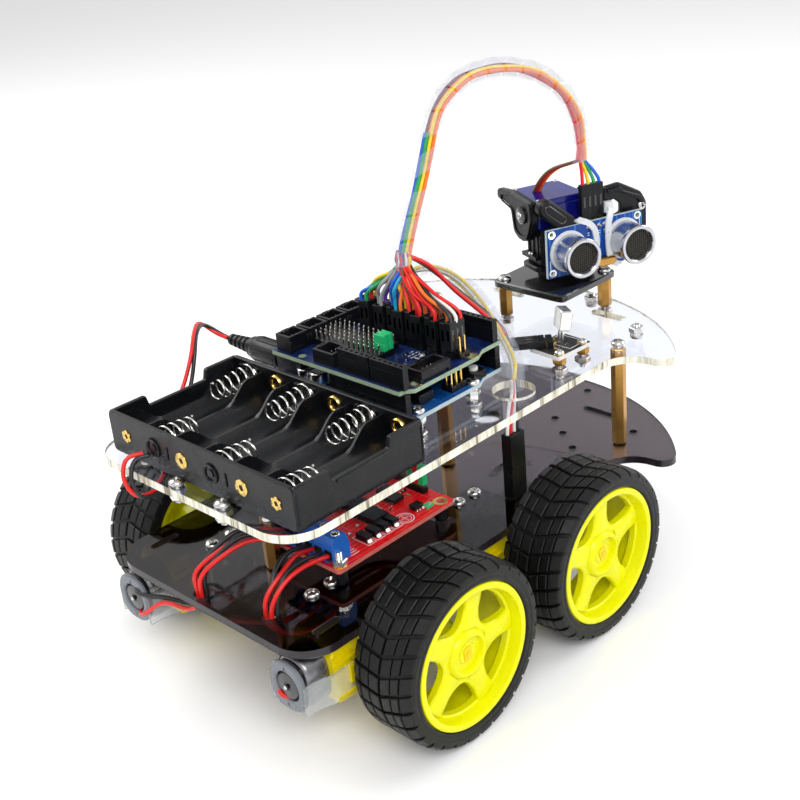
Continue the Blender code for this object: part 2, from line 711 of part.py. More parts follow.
def infrared_module():
    x, y = INFRARED_SPOT
    low = DECK_TOP + INFRARED_LIFT
    centre = (x + MID_X, y, low + BOARD_THICK / 2)
    box("infrared_board", (*INFRARED_SIZE, BOARD_THICK), centre, BLACK_BOARD)
    x, y = RECEIVER_SPOT
    centre = (x + MID_X, y, low + BOARD_THICK + GAP + RECEIVER_SIZE[2] / 2)
    box("infrared_receiver", RECEIVER_SIZE, centre, SILVER, bevel=0.5 * MM)


def line_plug():
    """The plug of the line sensors' cable, standing on the lower deck."""
    x, y = LINE_PLUG_SPOT
    centre = (x + MID_X, y, LOWER_DECK_Z + DECK_THICK + GAP + LINE_PLUG_SIZE[2] / 2)
    box("line_plug", LINE_PLUG_SIZE, centre, BLACK, bevel=0.3 * MM)


def pan_mount():
    """The fixed plate on its two pillars, and the base the head turns on."""
    outline = rounded_rectangle(PLATE_SIZE, PLATE_SIZE, PLATE_CORNER)
    x = PLATE_X + MID_X
    prism("pan_plate", outline, PLATE_Z, PLATE_TOP, BLACK, None, (x, PLATE_Y, 0.0))
    low, high = DECK_TOP + GAP, PLATE_Z - GAP
    for name, sign in (("rear", -1), ("front", 1)):
        place = (x + sign * PLATE_HOLE, PLATE_Y - sign * PLATE_HOLE)
        rod("pan_standoff_" + name, STANDOFF_RADIUS, low, high, place, BRASS, sides=6)
    axis = (PAN_X + MID_X, PAN_Y)
    top = PLATE_TOP + PAN_BASE_HEIGHT
    rod("pan_base", PAN_BASE_RADIUS, PLATE_TOP + GAP, top, axis, BLACK, sides=24)
    return axis


def pan_head(pan, tilt_z):
    """What turns about the upright axis: housing, servo and the yoke's fixed side."""
    low = PAN_BASE_HEIGHT + GAP
    centre = (0.0, 0.0, low + HOUSING_LOW[2] / 2)
    housing = box("pan_housing", HOUSING_LOW, centre, BLACK)
    overlap = 1.8 * MM
    centre = (0.0, 0.0, low + HOUSING_LOW[2] - overlap + HOUSING_TOP[2] / 2)
    upper = box("pan_housing_top", HOUSING_TOP, centre, None, CUTTERS)
    join(housing, upper)
    centre = (*SERVO_SHIFT, tilt_z)
    servo = box("tilt_servo", SERVO_SIZE, centre, BLUE_PLASTIC, bevel=0.4 * MM)
    turn = Matrix.Rotation(math.radians(90), 4, "X")
    radius, near, far = SERVO_BOSS
    hub = circle_points(radius, 16)
    spot = (0.0, 0.0, tilt_z)
    boss = prism("tilt_boss", hub, -far, -near, None, CUTTERS, spot, turn)
    join(servo, boss)
    outline = [(x * MM, z * MM) for x, z in YOKE_OUTLINE]
    arm = prism("pan_yoke", outline, *YOKE_SIDE, BLACK, None, spot, turn)
    for piece in (housing, upper, servo, boss, arm):
        piece.parent = pan


def sensor_head(tilt):
    """What also tilts: the sensor's board and eyes, its plug and the cradle behind it."""
    sensor_z = SENSOR_Z - TILT_Z
    back = SENSOR_FRONT - SENSOR_THICK
    centre = (back + SENSOR_THICK / 2, SENSOR_SIDE, sensor_z)
    pieces = [box("ultrasonic_board", (SENSOR_THICK, *SENSOR_SIZE), centre, BLUE_BOARD)]
    turn = Matrix.Rotation(math.radians(90), 4, "Y")
    circle = circle_points(EYE_RADIUS, 28)
    for name, sign in (("left", -1), ("right", 1)):
        spot = (SENSOR_FRONT, SENSOR_SIDE + sign * EYE_SPACING / 2, sensor_z)
        label = "ultrasonic_eye_" + name
        pieces.append(prism(label, circle, GAP, GAP + EYE_DEPTH, SILVER, None, spot, turn))
    plug_z = sensor_z + SENSOR_SIZE[1] / 2 + SENSOR_PLUG_SIZE[2] / 2 + 0.4 * MM
    plug_x = back - 0.4 * MM - SENSOR_PLUG_SIZE[0] / 2
    centre = (plug_x, SENSOR_SIDE + SENSOR_PLUG_SIDE, plug_z)
    pieces.append(box("sensor_plug", SENSOR_PLUG_SIZE, centre, BLACK))
    behind = back - GAP
    centre = (behind - CRADLE_SIZE[0] / 2, CRADLE_Y, -5.0 * MM)
    cradle = box("sensor_cradle", CRADLE_SIZE, centre, BLACK)
    centre = (behind - CRADLE_ARM_SIZE[0] / 2, CRADLE_ARM_Y, 0.0)
    arm = box("cradle_arm", CRADLE_ARM_SIZE, centre, None, CUTTERS)
    join(cradle, arm)
    for piece in (*pieces, cradle, arm):
        piece.parent = tilt


def pan_and_tilt():
    axis = pan_mount()
    pan = hinge_frame("pan_axis", (*axis, PLATE_TOP), PAN_REST)
    tilt_z = TILT_Z - PLATE_TOP
    pan_head(pan, tilt_z)
    sensor_head(hinge_frame("tilt_axis", (0.0, 0.0, tilt_z), 0.0, pan))


def cords(plug_end):
    """Each cord as one tube along its own route; the battery's lead ends in its plug."""
    end = ((plug_end.x - MID_X) / MM, plug_end.y / MM, plug_end.z / MM)
    near = (end[0] - 1, end[1] + 4, end[2] + 1)
    last = (end[0], end[1] + 0.4, end[2])
    routes = (
        ("sensor_cable", SENSOR_ROUTE, CABLE_RADIUS, CABLE),
        ("line_cable", LINE_ROUTE, CABLE_RADIUS, CABLE),
        ("battery_lead", (*LEAD_ROUTE, near, last), LEAD_RADIUS, LEAD),
    )
    for name, knots, radius, surface in routes:
        placed = [(x * MM + MID_X, y * MM, z * MM) for x, y, z in knots]
        tube(name, smooth_route(placed, 5), radius, surface)


decks()
wheels()
motors()
battery_tray()
cable_end = power_plug(controller_stack())
motor_driver()
infrared_module()
line_plug()
pan_and_tilt()
cords(cable_end)
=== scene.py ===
"""Look of the four wheel robot chassis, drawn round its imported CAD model.

Shapes are drawn in millimetres about the axles' midpoint, +X forward, and `Draft.done`
turns them into metres in the row frame."""

import json
import math
import random

import bmesh
import bpy
from mathutils import Matrix, Vector


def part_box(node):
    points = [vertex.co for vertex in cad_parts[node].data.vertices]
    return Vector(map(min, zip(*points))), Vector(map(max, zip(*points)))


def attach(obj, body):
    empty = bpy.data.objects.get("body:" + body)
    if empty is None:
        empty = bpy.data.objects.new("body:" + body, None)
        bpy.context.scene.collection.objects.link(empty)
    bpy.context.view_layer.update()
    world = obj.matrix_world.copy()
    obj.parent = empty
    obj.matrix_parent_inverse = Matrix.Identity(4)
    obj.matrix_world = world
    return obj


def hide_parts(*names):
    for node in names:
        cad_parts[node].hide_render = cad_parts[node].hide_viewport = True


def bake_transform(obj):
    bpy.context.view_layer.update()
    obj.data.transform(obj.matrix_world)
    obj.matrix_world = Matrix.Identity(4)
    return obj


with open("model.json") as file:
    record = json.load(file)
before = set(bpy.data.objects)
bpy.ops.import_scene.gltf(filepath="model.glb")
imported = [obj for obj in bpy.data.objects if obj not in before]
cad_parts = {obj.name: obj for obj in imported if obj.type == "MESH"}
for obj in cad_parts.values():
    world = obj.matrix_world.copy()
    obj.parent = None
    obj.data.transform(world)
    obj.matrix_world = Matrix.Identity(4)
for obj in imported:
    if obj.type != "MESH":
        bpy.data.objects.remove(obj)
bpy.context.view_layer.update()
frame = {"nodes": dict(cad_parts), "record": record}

MM = 0.001
random.seed(4)


def node_middle(name):
    low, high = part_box(name)
    return (low + high) / 2


MID_X = (node_middle("axle_front_left").x + node_middle("axle_rear_left").x) / 2 / MM


def node_box(name):
    """Lowest and highest corner of a CAD node, in drawing millimetres."""
    low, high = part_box(name)
    shift = Vector((MID_X, 0.0, 0.0))
    return low / MM - shift, high / MM - shift


def at(x, y, z):
    """A point drawn in millimetres, in metres in the row frame."""
    return Vector(((x + MID_X) * MM, y * MM, z * MM))


LOWER_LOW, LOWER_TOP = (corner.z for corner in node_box("lower_deck"))
UPPER_LOW, UPPER_TOP = (corner.z for corner in node_box("upper_deck"))


# ---------------------------------------------------------------- camera, light and floor

VIEW_AZIMUTH = math.radians(-44.69)
VIEW_ELEVATION = math.radians(24.98)
VIEW_ROLL = math.radians(-5.04)
VIEW_DISTANCE = 453.18
VIEW_TARGET = at(0.0, -27.19, 101.56)
SENSOR_MM = 36.0
LENS_MM = 58.24
VIEW_SHIFT = (-0.0230, -0.0143)


def add_camera():
    back = Vector(
        (
            math.sin(VIEW_AZIMUTH) * math.cos(VIEW_ELEVATION),
            -math.cos(VIEW_AZIMUTH) * math.cos(VIEW_ELEVATION),
            math.sin(VIEW_ELEVATION),
        )
    )
    level = (-back).cross(Vector((0, 0, 1))).normalized()
    upright = level.cross(-back)
    right = level * math.cos(VIEW_ROLL) + upright * math.sin(VIEW_ROLL)
    up = upright * math.cos(VIEW_ROLL) - level * math.sin(VIEW_ROLL)
    data = bpy.data.cameras.new("camera")
    data.sensor_width = SENSOR_MM
    data.lens = LENS_MM
    data.shift_x, data.shift_y = VIEW_SHIFT
    data.clip_start = 0.01
    camera = bpy.data.objects.new("camera", data)
    bpy.context.scene.collection.objects.link(camera)
    camera.matrix_world = Matrix(
        (
            (right.x, up.x, back.x, 0.0),
            (right.y, up.y, back.y, 0.0),
            (right.z, up.z, back.z, 0.0),
            (0.0, 0.0, 0.0, 1.0),
        )
    )
    camera.location = VIEW_TARGET + back * VIEW_DISTANCE * MM
    bpy.context.scene.camera = camera


def add_light(name, spot, size, watts):
    data = bpy.data.lights.new(name, "AREA")
    data.shape = "RECTANGLE"
    data.size, data.size_y = size
    data.energy = watts
    lamp = bpy.data.objects.new(name, data)
    bpy.context.scene.collection.objects.link(lamp)
    lamp.location = Vector(spot)
    aim = Vector((0.0, 0.0, 0.08)) - lamp.location
    lamp.rotation_euler = aim.to_track_quat("-Z", "Y").to_euler()


def add_studio():
    world = bpy.data.worlds.new("studio")
    world.use_nodes = True
    sky = world.node_tree.nodes["Background"]
    sky.inputs["Color"].default_value = (1.0, 1.0, 1.0, 1.0)
    sky.inputs["Strength"].default_value = 0.75
    bpy.context.scene.world = world
    add_light("key_light", (-0.55, -0.75, 0.9), (0.7, 0.5), 8.0)
    add_light("fill_light", (0.9, -0.5, 0.6), (0.8, 0.6), 4.5)
    add_light("back_light", (-0.2, 0.9, 0.8), (0.9, 0.5), 6.0)
    bpy.context.scene.view_settings.view_transform = "Standard"
    floor_mesh = bpy.data.meshes.new("floor")
    reach = 3.0
    floor_mesh.from_pydata(
        [(-reach, -reach, 0.0), (reach, -reach, 0.0), (reach, reach, 0.0), (-reach, reach, 0.0)],
        [],
        [(0, 1, 2, 3)],
    )
    floor = bpy.data.objects.new("floor", floor_mesh)
    bpy.context.scene.collection.objects.link(floor)
    floor_mesh.materials.append(finish("floor_paint", (0.96, 0.96, 0.96), 0.7, spread=0.01, grain=0.0))


# ---------------------------------------------------------------------------- materials

FINISHES = {}
PLASTIC_IOR = 1.49
COAT_ROUGHNESS = 0.08
FINE_SCALE = 2600.0


def add_node(made, kind, numbers, source=None, into="Vector"):
    """A new node in the material, its inputs set and one of them fed by `source`."""
    node = made.node_tree.nodes.new("ShaderNode" + kind)
    for name, number in numbers.items():
        node.inputs[name].default_value = number
    if source:
        feed(made, source, node.inputs[into])
    return node


def feed(made, source, target):
    made.node_tree.links.new(source, target)


def shader_of(made):
    return made.node_tree.nodes["Principled BSDF"]


def place_on(made):
    """The point of the surface, in the object's own axes."""
    node = next(node for node in made.node_tree.nodes if node.type == "TEX_COORD")
    return node.outputs["Object"]


def add_ramp(made, source, low, high):
    """Colours the material by a ramp between two (position, colour) stops."""
    ramp = add_node(made, "ValToRGB", {}, source, "Fac")
    for stop, (position, colour) in zip(ramp.color_ramp.elements, (low, high)):
        stop.position = position
        stop.color = (*colour, 1.0)
    feed(made, ramp.outputs["Color"], shader_of(made).inputs["Base Color"])
    return ramp.color_ramp


def add_bump(made, source, depth):
    """Bumps of a depth in millimetres."""
    node = add_node(made, "Bump", {"Strength": 0.5, "Distance": depth * MM}, source, "Height")
    feed(made, node.outputs["Normal"], shader_of(made).inputs["Normal"])


def finish(
    name, colour, roughness, metallic=0.0, spread=0.12, blotch=90.0, grain=0.04, uneven=0.08,
    clear=0.0, coat=0.0, specular=0.5,
):
    """A plastic, metal or rubber whose colour, gloss and surface vary the way a real one's do.

    `spread` is how much darker the blotches are and `blotch` their scale, `grain` the depth of
    the fine bump in millimetres and `uneven` how far the roughness wanders. `clear` is the share
    of light let through, and then lamps shine through it too."""
    if name in FINISHES:
        return FINISHES[name]
    made = bpy.data.materials.new(name + "_look")
    FINISHES[name] = made
    made.use_nodes = True
    shader = shader_of(made)
    shader.inputs["Metallic"].default_value = metallic
    shader.inputs["IOR"].default_value = PLASTIC_IOR
    shader.inputs["Specular IOR Level"].default_value = specular
    if coat:
        shader.inputs["Coat Weight"].default_value = coat
        shader.inputs["Coat Roughness"].default_value = COAT_ROUGHNESS
    spot = add_node(made, "TexCoord", {}).outputs["Object"]
    cloud = add_node(made, "TexNoise", {"Scale": blotch, "Detail": 6.0}, spot)
    darker = [part * (1.0 - spread) for part in colour]
    add_ramp(made, cloud.outputs["Fac"], (0.35, darker), (0.68, colour))
    wander = add_node(made, "TexNoise", {"Scale": blotch * 2.3, "Detail": 8.0}, spot)
    reach = {
        "From Min": 0.3, "From Max": 0.7,
        "To Min": max(roughness - uneven, 0.0), "To Max": min(roughness + uneven, 1.0),
    }
    shine = add_node(made, "MapRange", reach, wander.outputs["Fac"], "Value")
    feed(made, shine.outputs["Result"], shader.inputs["Roughness"])
    if grain:
        fine = add_node(made, "TexNoise", {"Scale": FINE_SCALE, "Detail": 3.0}, spot)
        add_bump(made, fine.outputs["Fac"], grain)
    if clear:
        shader.inputs["Transmission Weight"].default_value = clear
        let_light_through(made, colour)
    return made


def let_light_through(made, colour):
    """Lamps' rays pass straight through a clear plastic, tinted by it, as no caustics are traced."""
    path = add_node(made, "LightPath", {})
    hole = add_node(made, "BsdfTransparent", {"Color": (*colour, 1.0)})
    mix = add_node(made, "MixShader", {}, path.outputs["Is Shadow Ray"], "Fac")
    feed(made, shader_of(made).outputs["BSDF"], mix.inputs[1])
    feed(made, hole.outputs["BSDF"], mix.inputs[2])
    feed(made, mix.outputs["Shader"], made.node_tree.nodes["Material Output"].inputs["Surface"])


def film(name, colour, roughness, veil):
    """A thin milky film: `veil` is the share of what lies behind that it hides."""
    made = finish(name, colour, roughness, spread=0.06, blotch=160.0, grain=0.02)
    cloud = add_node(made, "TexNoise", {"Scale": 120.0}, place_on(made))
    reach = {"To Min": veil * 0.7, "To Max": veil * 1.3}
    amount = add_node(made, "MapRange", reach, cloud.outputs["Fac"], "Value")
    feed(made, amount.outputs["Result"], shader_of(made).inputs["Alpha"])
    return made


def cut_edge_with_painted_glints(name, bright, deep):
    """The cut edge of clear acrylic: upright bands that are bumped as ridges and coloured as painted light,
    the bright ones as painted glints and the deep ones as painted dark reflections.
    """
    made = finish(name, bright, 0.14, spread=0.05, grain=0.0, uneven=0.06, clear=0.2)
    upright = add_node(made, "Mapping", {"Scale": (1.0, 1.0, 0.06)}, place_on(made))
    noise = {"Scale": 210.0, "Detail": 4.0, "Roughness": 0.75}
    ridges_and_glints = add_node(made, "TexNoise", noise, upright.outputs["Vector"])
    # Painted glints and painted dark reflections: the ramp's deep, warm and bright stops colour the upright
    # bands.
    ramp = add_ramp(made, ridges_and_glints.outputs["Fac"], (0.36, deep), (0.56, bright))
    for position, share in ((0.42, 0.35), (0.45, 0.9), (0.49, 0.6), (0.51, 0.95)):
        stop = ramp.elements.new(position)
        warm = [d + (b - d) * share for d, b in zip(deep, bright)]
        stop.color = (warm[0], warm[1] * 0.99, warm[2] * 0.9, 1.0)
    add_bump(made, ridges_and_glints.outputs["Fac"], 0.35)
    return made


def board_lacquer(name, colour, trace, pad_scale=390.0):
    """Lacquered circuit board: straight copper tracks show through as lighter lines, in patches."""
    made = finish(name, colour, 0.34, spread=0.25, blotch=160.0, grain=0.02, specular=0.35)
    target = shader_of(made).inputs["Base Color"]
    base = target.links[0].from_socket
    bricks = {
        "Color1": (0.0, 0.0, 0.0, 1.0), "Color2": (0.0, 0.0, 0.0, 1.0), "Mortar": (1.0, 1.0, 1.0, 1.0),
        "Scale": pad_scale, "Mortar Size": 0.05, "Brick Width": 2.9, "Row Height": 0.55,
    }
    tracks = add_node(made, "TexBrick", bricks, place_on(made))
    tracks.squash_frequency = 3
    tracks.squash = 1.9
    tracks.offset_frequency = 3
    tracks.offset = 0.37
    patches = add_node(made, "TexVoronoi", {"Scale": pad_scale * 0.42}, place_on(made))
    gate = add_node(made, "Math", {1: 0.45}, patches.outputs["Distance"], 0)
    gate.operation = "GREATER_THAN"
    amount = add_node(made, "Math", {}, tracks.outputs["Color"], 0)
    amount.operation = "MULTIPLY"
    feed(made, gate.outputs["Value"], amount.inputs[1])
    mix = add_node(made, "Mix", {7: (*trace, 1.0)}, amount.outputs["Value"], 0)
    mix.data_type = "RGBA"
    feed(made, base, mix.inputs[6])
    feed(made, mix.outputs[2], target)
    return made


SMOKED = finish(
    "smoked_acrylic", (0.08, 0.062, 0.075), 0.04, spread=0.1, grain=0.0, uneven=0.03, clear=1.0
)
SMOKED_EDGE = finish(
    "smoked_cut_edge", (0.03, 0.024, 0.03), 0.24, spread=0.4, grain=0.05, clear=0.3
)
CLEAR = finish(
    "clear_acrylic", (0.83, 0.85, 0.92), 0.03, spread=0.02, grain=0.0, uneven=0.02, clear=1.0
)
# Painted glints (bright) and painted dark reflections (deep) on the clear deck's cut edge and the rims of its
# holes.
CUT_EDGE = cut_edge_with_painted_glints("clear_cut_edge", (1.0, 0.98, 0.88), (0.22, 0.18, 0.1))
STRAP = finish("grey_strap", (0.22, 0.24, 0.27), 0.22, spread=0.15, grain=0.03, clear=0.25)
CLEAR_STRAP = finish("clear_strap", (0.9, 0.92, 0.92), 0.12, spread=0.05, grain=0.03, clear=0.85)
MILKY = film("milky_wrap", (0.55, 0.6, 0.74), 0.2, 0.13)
MILKY_TIE = finish("milky_tie", (0.86, 0.88, 0.9), 0.35, spread=0.08, grain=0.03, clear=0.35)
YELLOW = finish("yellow_plastic", (0.76, 0.75, 0.0), 0.27, spread=0.05, grain=0.01, specular=0.28)
GEAR_YELLOW = finish("gearbox_yellow", (0.76, 0.6, 0.0), 0.34, spread=0.08, grain=0.03, specular=0.3)
RUBBER = finish(
    "tyre_rubber", (0.007, 0.007, 0.0065), 0.44, spread=0.45, blotch=240.0, grain=0.07, specular=0.28
)
STEEL = finish("bright_steel", (0.72, 0.71, 0.69), 0.22, 1.0, spread=0.15, grain=0.03, uneven=0.1)
DARK_STEEL = finish("motor_steel", (0.3, 0.3, 0.32), 0.3, 1.0, spread=0.3, grain=0.04, uneven=0.12)
NICKEL = finish("nickel", (0.8, 0.79, 0.76), 0.16, 1.0, spread=0.12, grain=0.01)
ALUMINIUM = finish("aluminium", (0.58, 0.59, 0.62), 0.2, 1.0, spread=0.12, grain=0.02, uneven=0.05)
BRASS = finish("brass", (0.5, 0.27, 0.07), 0.3, 1.0, spread=0.06, blotch=200.0, grain=0.0, uneven=0.03)
GOLD = finish("gold_plate", (0.95, 0.66, 0.2), 0.22, 1.0, spread=0.2, grain=0.02)
BLACK = finish(
    "black_plastic", (0.005, 0.0055, 0.007), 0.34, spread=0.35, blotch=150.0, grain=0.06, specular=0.27
)
TRAY_BLACK = finish(
    "tray_black", (0.005, 0.0055, 0.007), 0.29, spread=0.3, blotch=70.0, grain=0.09, specular=0.3
)
GLOSS_BLACK = finish("gloss_black", (0.012, 0.012, 0.014), 0.14, spread=0.4, grain=0.02, coat=0.5)
WHITE_PLASTIC = finish("white_plastic", (0.8, 0.79, 0.74), 0.4, spread=0.08, grain=0.05)
BLUE_BOARD = board_lacquer("blue_board", (0.002, 0.008, 0.06), (0.02, 0.07, 0.26))
CONTROLLER_BLUE = board_lacquer("controller_blue", (0.003, 0.055, 0.24), (0.03, 0.2, 0.5))
RED_BOARD = board_lacquer("red_board", (0.85, 0.004, 0.008), (0.95, 0.06, 0.05), 260.0)
BLACK_BOARD = board_lacquer("black_board", (0.012, 0.012, 0.014), (0.06, 0.06, 0.065))
SENSOR_BLUE = board_lacquer("sensor_blue", (0.003, 0.055, 0.31), (0.02, 0.15, 0.5))
GREEN_EDGE = finish("laminate_edge", (0.3, 0.4, 0.27), 0.6, spread=0.2, blotch=600.0, grain=0.08)
PALE_EDGE = finish("pale_laminate_edge", (0.5, 0.62, 0.66), 0.6, spread=0.2, blotch=600.0, grain=0.08)
RED_EDGE = finish("red_laminate_edge", (0.7, 0.16, 0.13), 0.6, spread=0.2, blotch=600.0, grain=0.08)
PRINT = finish("white_print", (0.82, 0.82, 0.8), 0.55, spread=0.15, blotch=900.0, grain=0.03)
BLUE_PLASTIC = finish(
    "servo_blue", (0.008, 0.013, 0.28), 0.16, spread=0.4, grain=0.02, clear=0.3, specular=0.35
)
TERMINAL_BLUE = finish("terminal_blue", (0.01, 0.13, 0.55), 0.35, spread=0.12, grain=0.05)
GREEN_PLASTIC = finish("jumper_green", (0.01, 0.5, 0.16), 0.35, spread=0.12, grain=0.05)
MESH_WIRE = finish("sensor_mesh_wire", (0.1, 0.095, 0.08), 0.4, 0.8, spread=0.3, blotch=900.0, grain=0.02)
MESH_DARK = finish("sensor_mesh", (0.02, 0.019, 0.017), 0.45, 0.4, spread=0.5, blotch=1500.0, grain=0.1)

WIRE_COLOURS = {
    "red": (0.75, 0.012, 0.01),
    "black": (0.02, 0.02, 0.022),
    "brown": (0.16, 0.055, 0.02),
    "orange": (0.85, 0.17, 0.01),
    "yellow": (0.85, 0.62, 0.01),
    "green": (0.01, 0.32, 0.09),
    "blue": (0.01, 0.11, 0.62),
    "purple": (0.12, 0.06, 0.32),
    "grey": (0.32, 0.33, 0.35),
    "white": (0.8, 0.79, 0.76),
    "salmon": (0.83, 0.13, 0.05),
    "cyan": (0.01, 0.35, 0.6),
}


def wire_finish(colour):
    return finish("wire_" + colour, WIRE_COLOURS[colour], 0.36, spread=0.12, blotch=400.0, grain=0.03)


# ------------------------------------------------------------------------- shape making


CORNERS = ((-1, -1), (1, -1), (1, 1), (-1, 1))
EASE_STEP = 1.7
EASE_ROUNDS = 30
BEND_DIAMETERS = 2.15


def circle(radius, count, centre=(0.0, 0.0)):
    points = []
    for step in range(count):
        angle = 2 * math.pi * step / count
        points.append((centre[0] + radius * math.cos(angle), centre[1] + radius * math.sin(angle)))
    return points


def arc(centre, radius, start, end, count):
    """Points along an arc, both ends included, angles in degrees."""
    points = []
    for step in range(count + 1):
        angle = math.radians(start + (end - start) * step / count)
        points.append((centre[0] + radius * math.cos(angle), centre[1] + radius * math.sin(angle)))
    return points


def rectangle(width, height, centre=(0.0, 0.0)):
    x, y = centre
    return [
        (x - width / 2, y - height / 2),
        (x + width / 2, y - height / 2),
        (x + width / 2, y + height / 2),
        (x - width / 2, y + height / 2),
    ]


def rounded(points, radius, count):
    """The closed outline with each corner rounded by up to `radius`."""
    result = []
    total = len(points)
    for index, point in enumerate(points):
        corner = Vector(point)
        back = Vector(points[index - 1]) - corner
        ahead = Vector(points[(index + 1) % total]) - corner
        reach = min(radius, back.length * 0.48, ahead.length * 0.48)
        start = corner + back.normalized() * reach
        end = corner + ahead.normalized() * reach
        for step in range(count + 1):
            t = step / count
            spot = start * (1 - t) ** 2 + corner * 2 * t * (1 - t) + end * t * t
            result.append((spot.x, spot.y))
    return result


def slot_outline(length, width, centre, turned=False):
    """A round-ended slot along X, or along Y when turned."""
    half = (length - width) / 2
    points = arc((half, 0.0), width / 2, -90, 90, 6) + arc((-half, 0.0), width / 2, 90, 270, 6)
    if turned:
        points = [(-y, x) for x, y in points]
    return [(x + centre[0], y + centre[1]) for x, y in points]


def smooth_route(knots, count):
    """Catmull-Rom points through the knots, `count` for each span."""
    path = [Vector(knot) for knot in knots]
    ends = [2 * path[0] - path[1]] + path + [2 * path[-1] - path[-2]]
    points = []
    for index in range(1, len(ends) - 2):
        before, start, end, after = ends[index - 1 : index + 3]
        for step in range(count):
            t = step / count
            points.append(
                0.5
                * (
                    2 * start
                    + (end - before) * t
                    + (2 * before - 5 * start + 4 * end - after) * t * t
                    + (3 * start - before - 3 * end + after) * t * t * t
                )
            )
    points.append(path[-1])
    return points


def along(points, distance):
    """The point at a distance along the path, and the index of the span that holds it."""
    for index, (start, end) in enumerate(zip(points, points[1:])):
        step = (end - start).length
        if distance <= step or index == len(points) - 2:
            return start + (end - start) * (distance / step), index
        distance -= step
    return points[-1], len(points) - 2


def evenly_spaced(points, step):
    """The same path with its points about `step` apart."""
    total = sum((end - start).length for start, end in zip(points, points[1:]))
    count = max(2, round(total / step))
    return [along(points, total * index / count)[0] for index in range(count)] + [points[-1]]


def tightest_bend(points):
    """Radius of the smallest circle through three points in a row."""
    radii = []
    for before, here, after in zip(points, points[1:], points[2:]):
        twice_area = (here - before).cross(after - before).length
        sides = (here - before).length * (after - here).length * (after - before).length
        radii.append(sides / max(2 * twice_area, 1e-9))
    return min(radii)


def eased(points, least_radius):
    """The path with its sharp turns relaxed until none is tighter than `least_radius`. Its ends stay."""
    points = evenly_spaced(points, EASE_STEP)
    for _ in range(EASE_ROUNDS):
        if tightest_bend(points) >= least_radius:
            break
        inner = [(a + 2 * b + c) / 4 for a, b, c in zip(points, points[1:], points[2:])]
        points = [points[0], *inner, points[-1]]
    return points


def frames_along(points):
    """(point, side, other side) along a path, with no sudden twist."""
    path = [Vector(point) for point in points]
    side = None
    result = []
    for index, point in enumerate(path):
        tangent = path[min(index + 1, len(path) - 1)] - path[max(index - 1, 0)]
        tangent.normalize()
        if side is None:
            guess = Vector((0, 0, 1)) if abs(tangent.z) < 0.8 else Vector((1, 0, 0))
            side = tangent.cross(guess).normalized()
        side = (side - tangent * side.dot(tangent)).normalized()
        result.append((point, side, tangent.cross(side)))
    return result


def moved(x, y, z):
    return Matrix.Translation((x, y, z))


def spun(angle, axis="Z"):
    return Matrix.Rotation(angle, 4, axis)


def upright(x=0.0, z=0.0):
    """Places what is drawn in (forward, up) and a depth to the left."""
    return Matrix(((1, 0, 0, x), (0, 0, 1, 0), (0, 1, 0, z), (0, 0, 0, 1)))


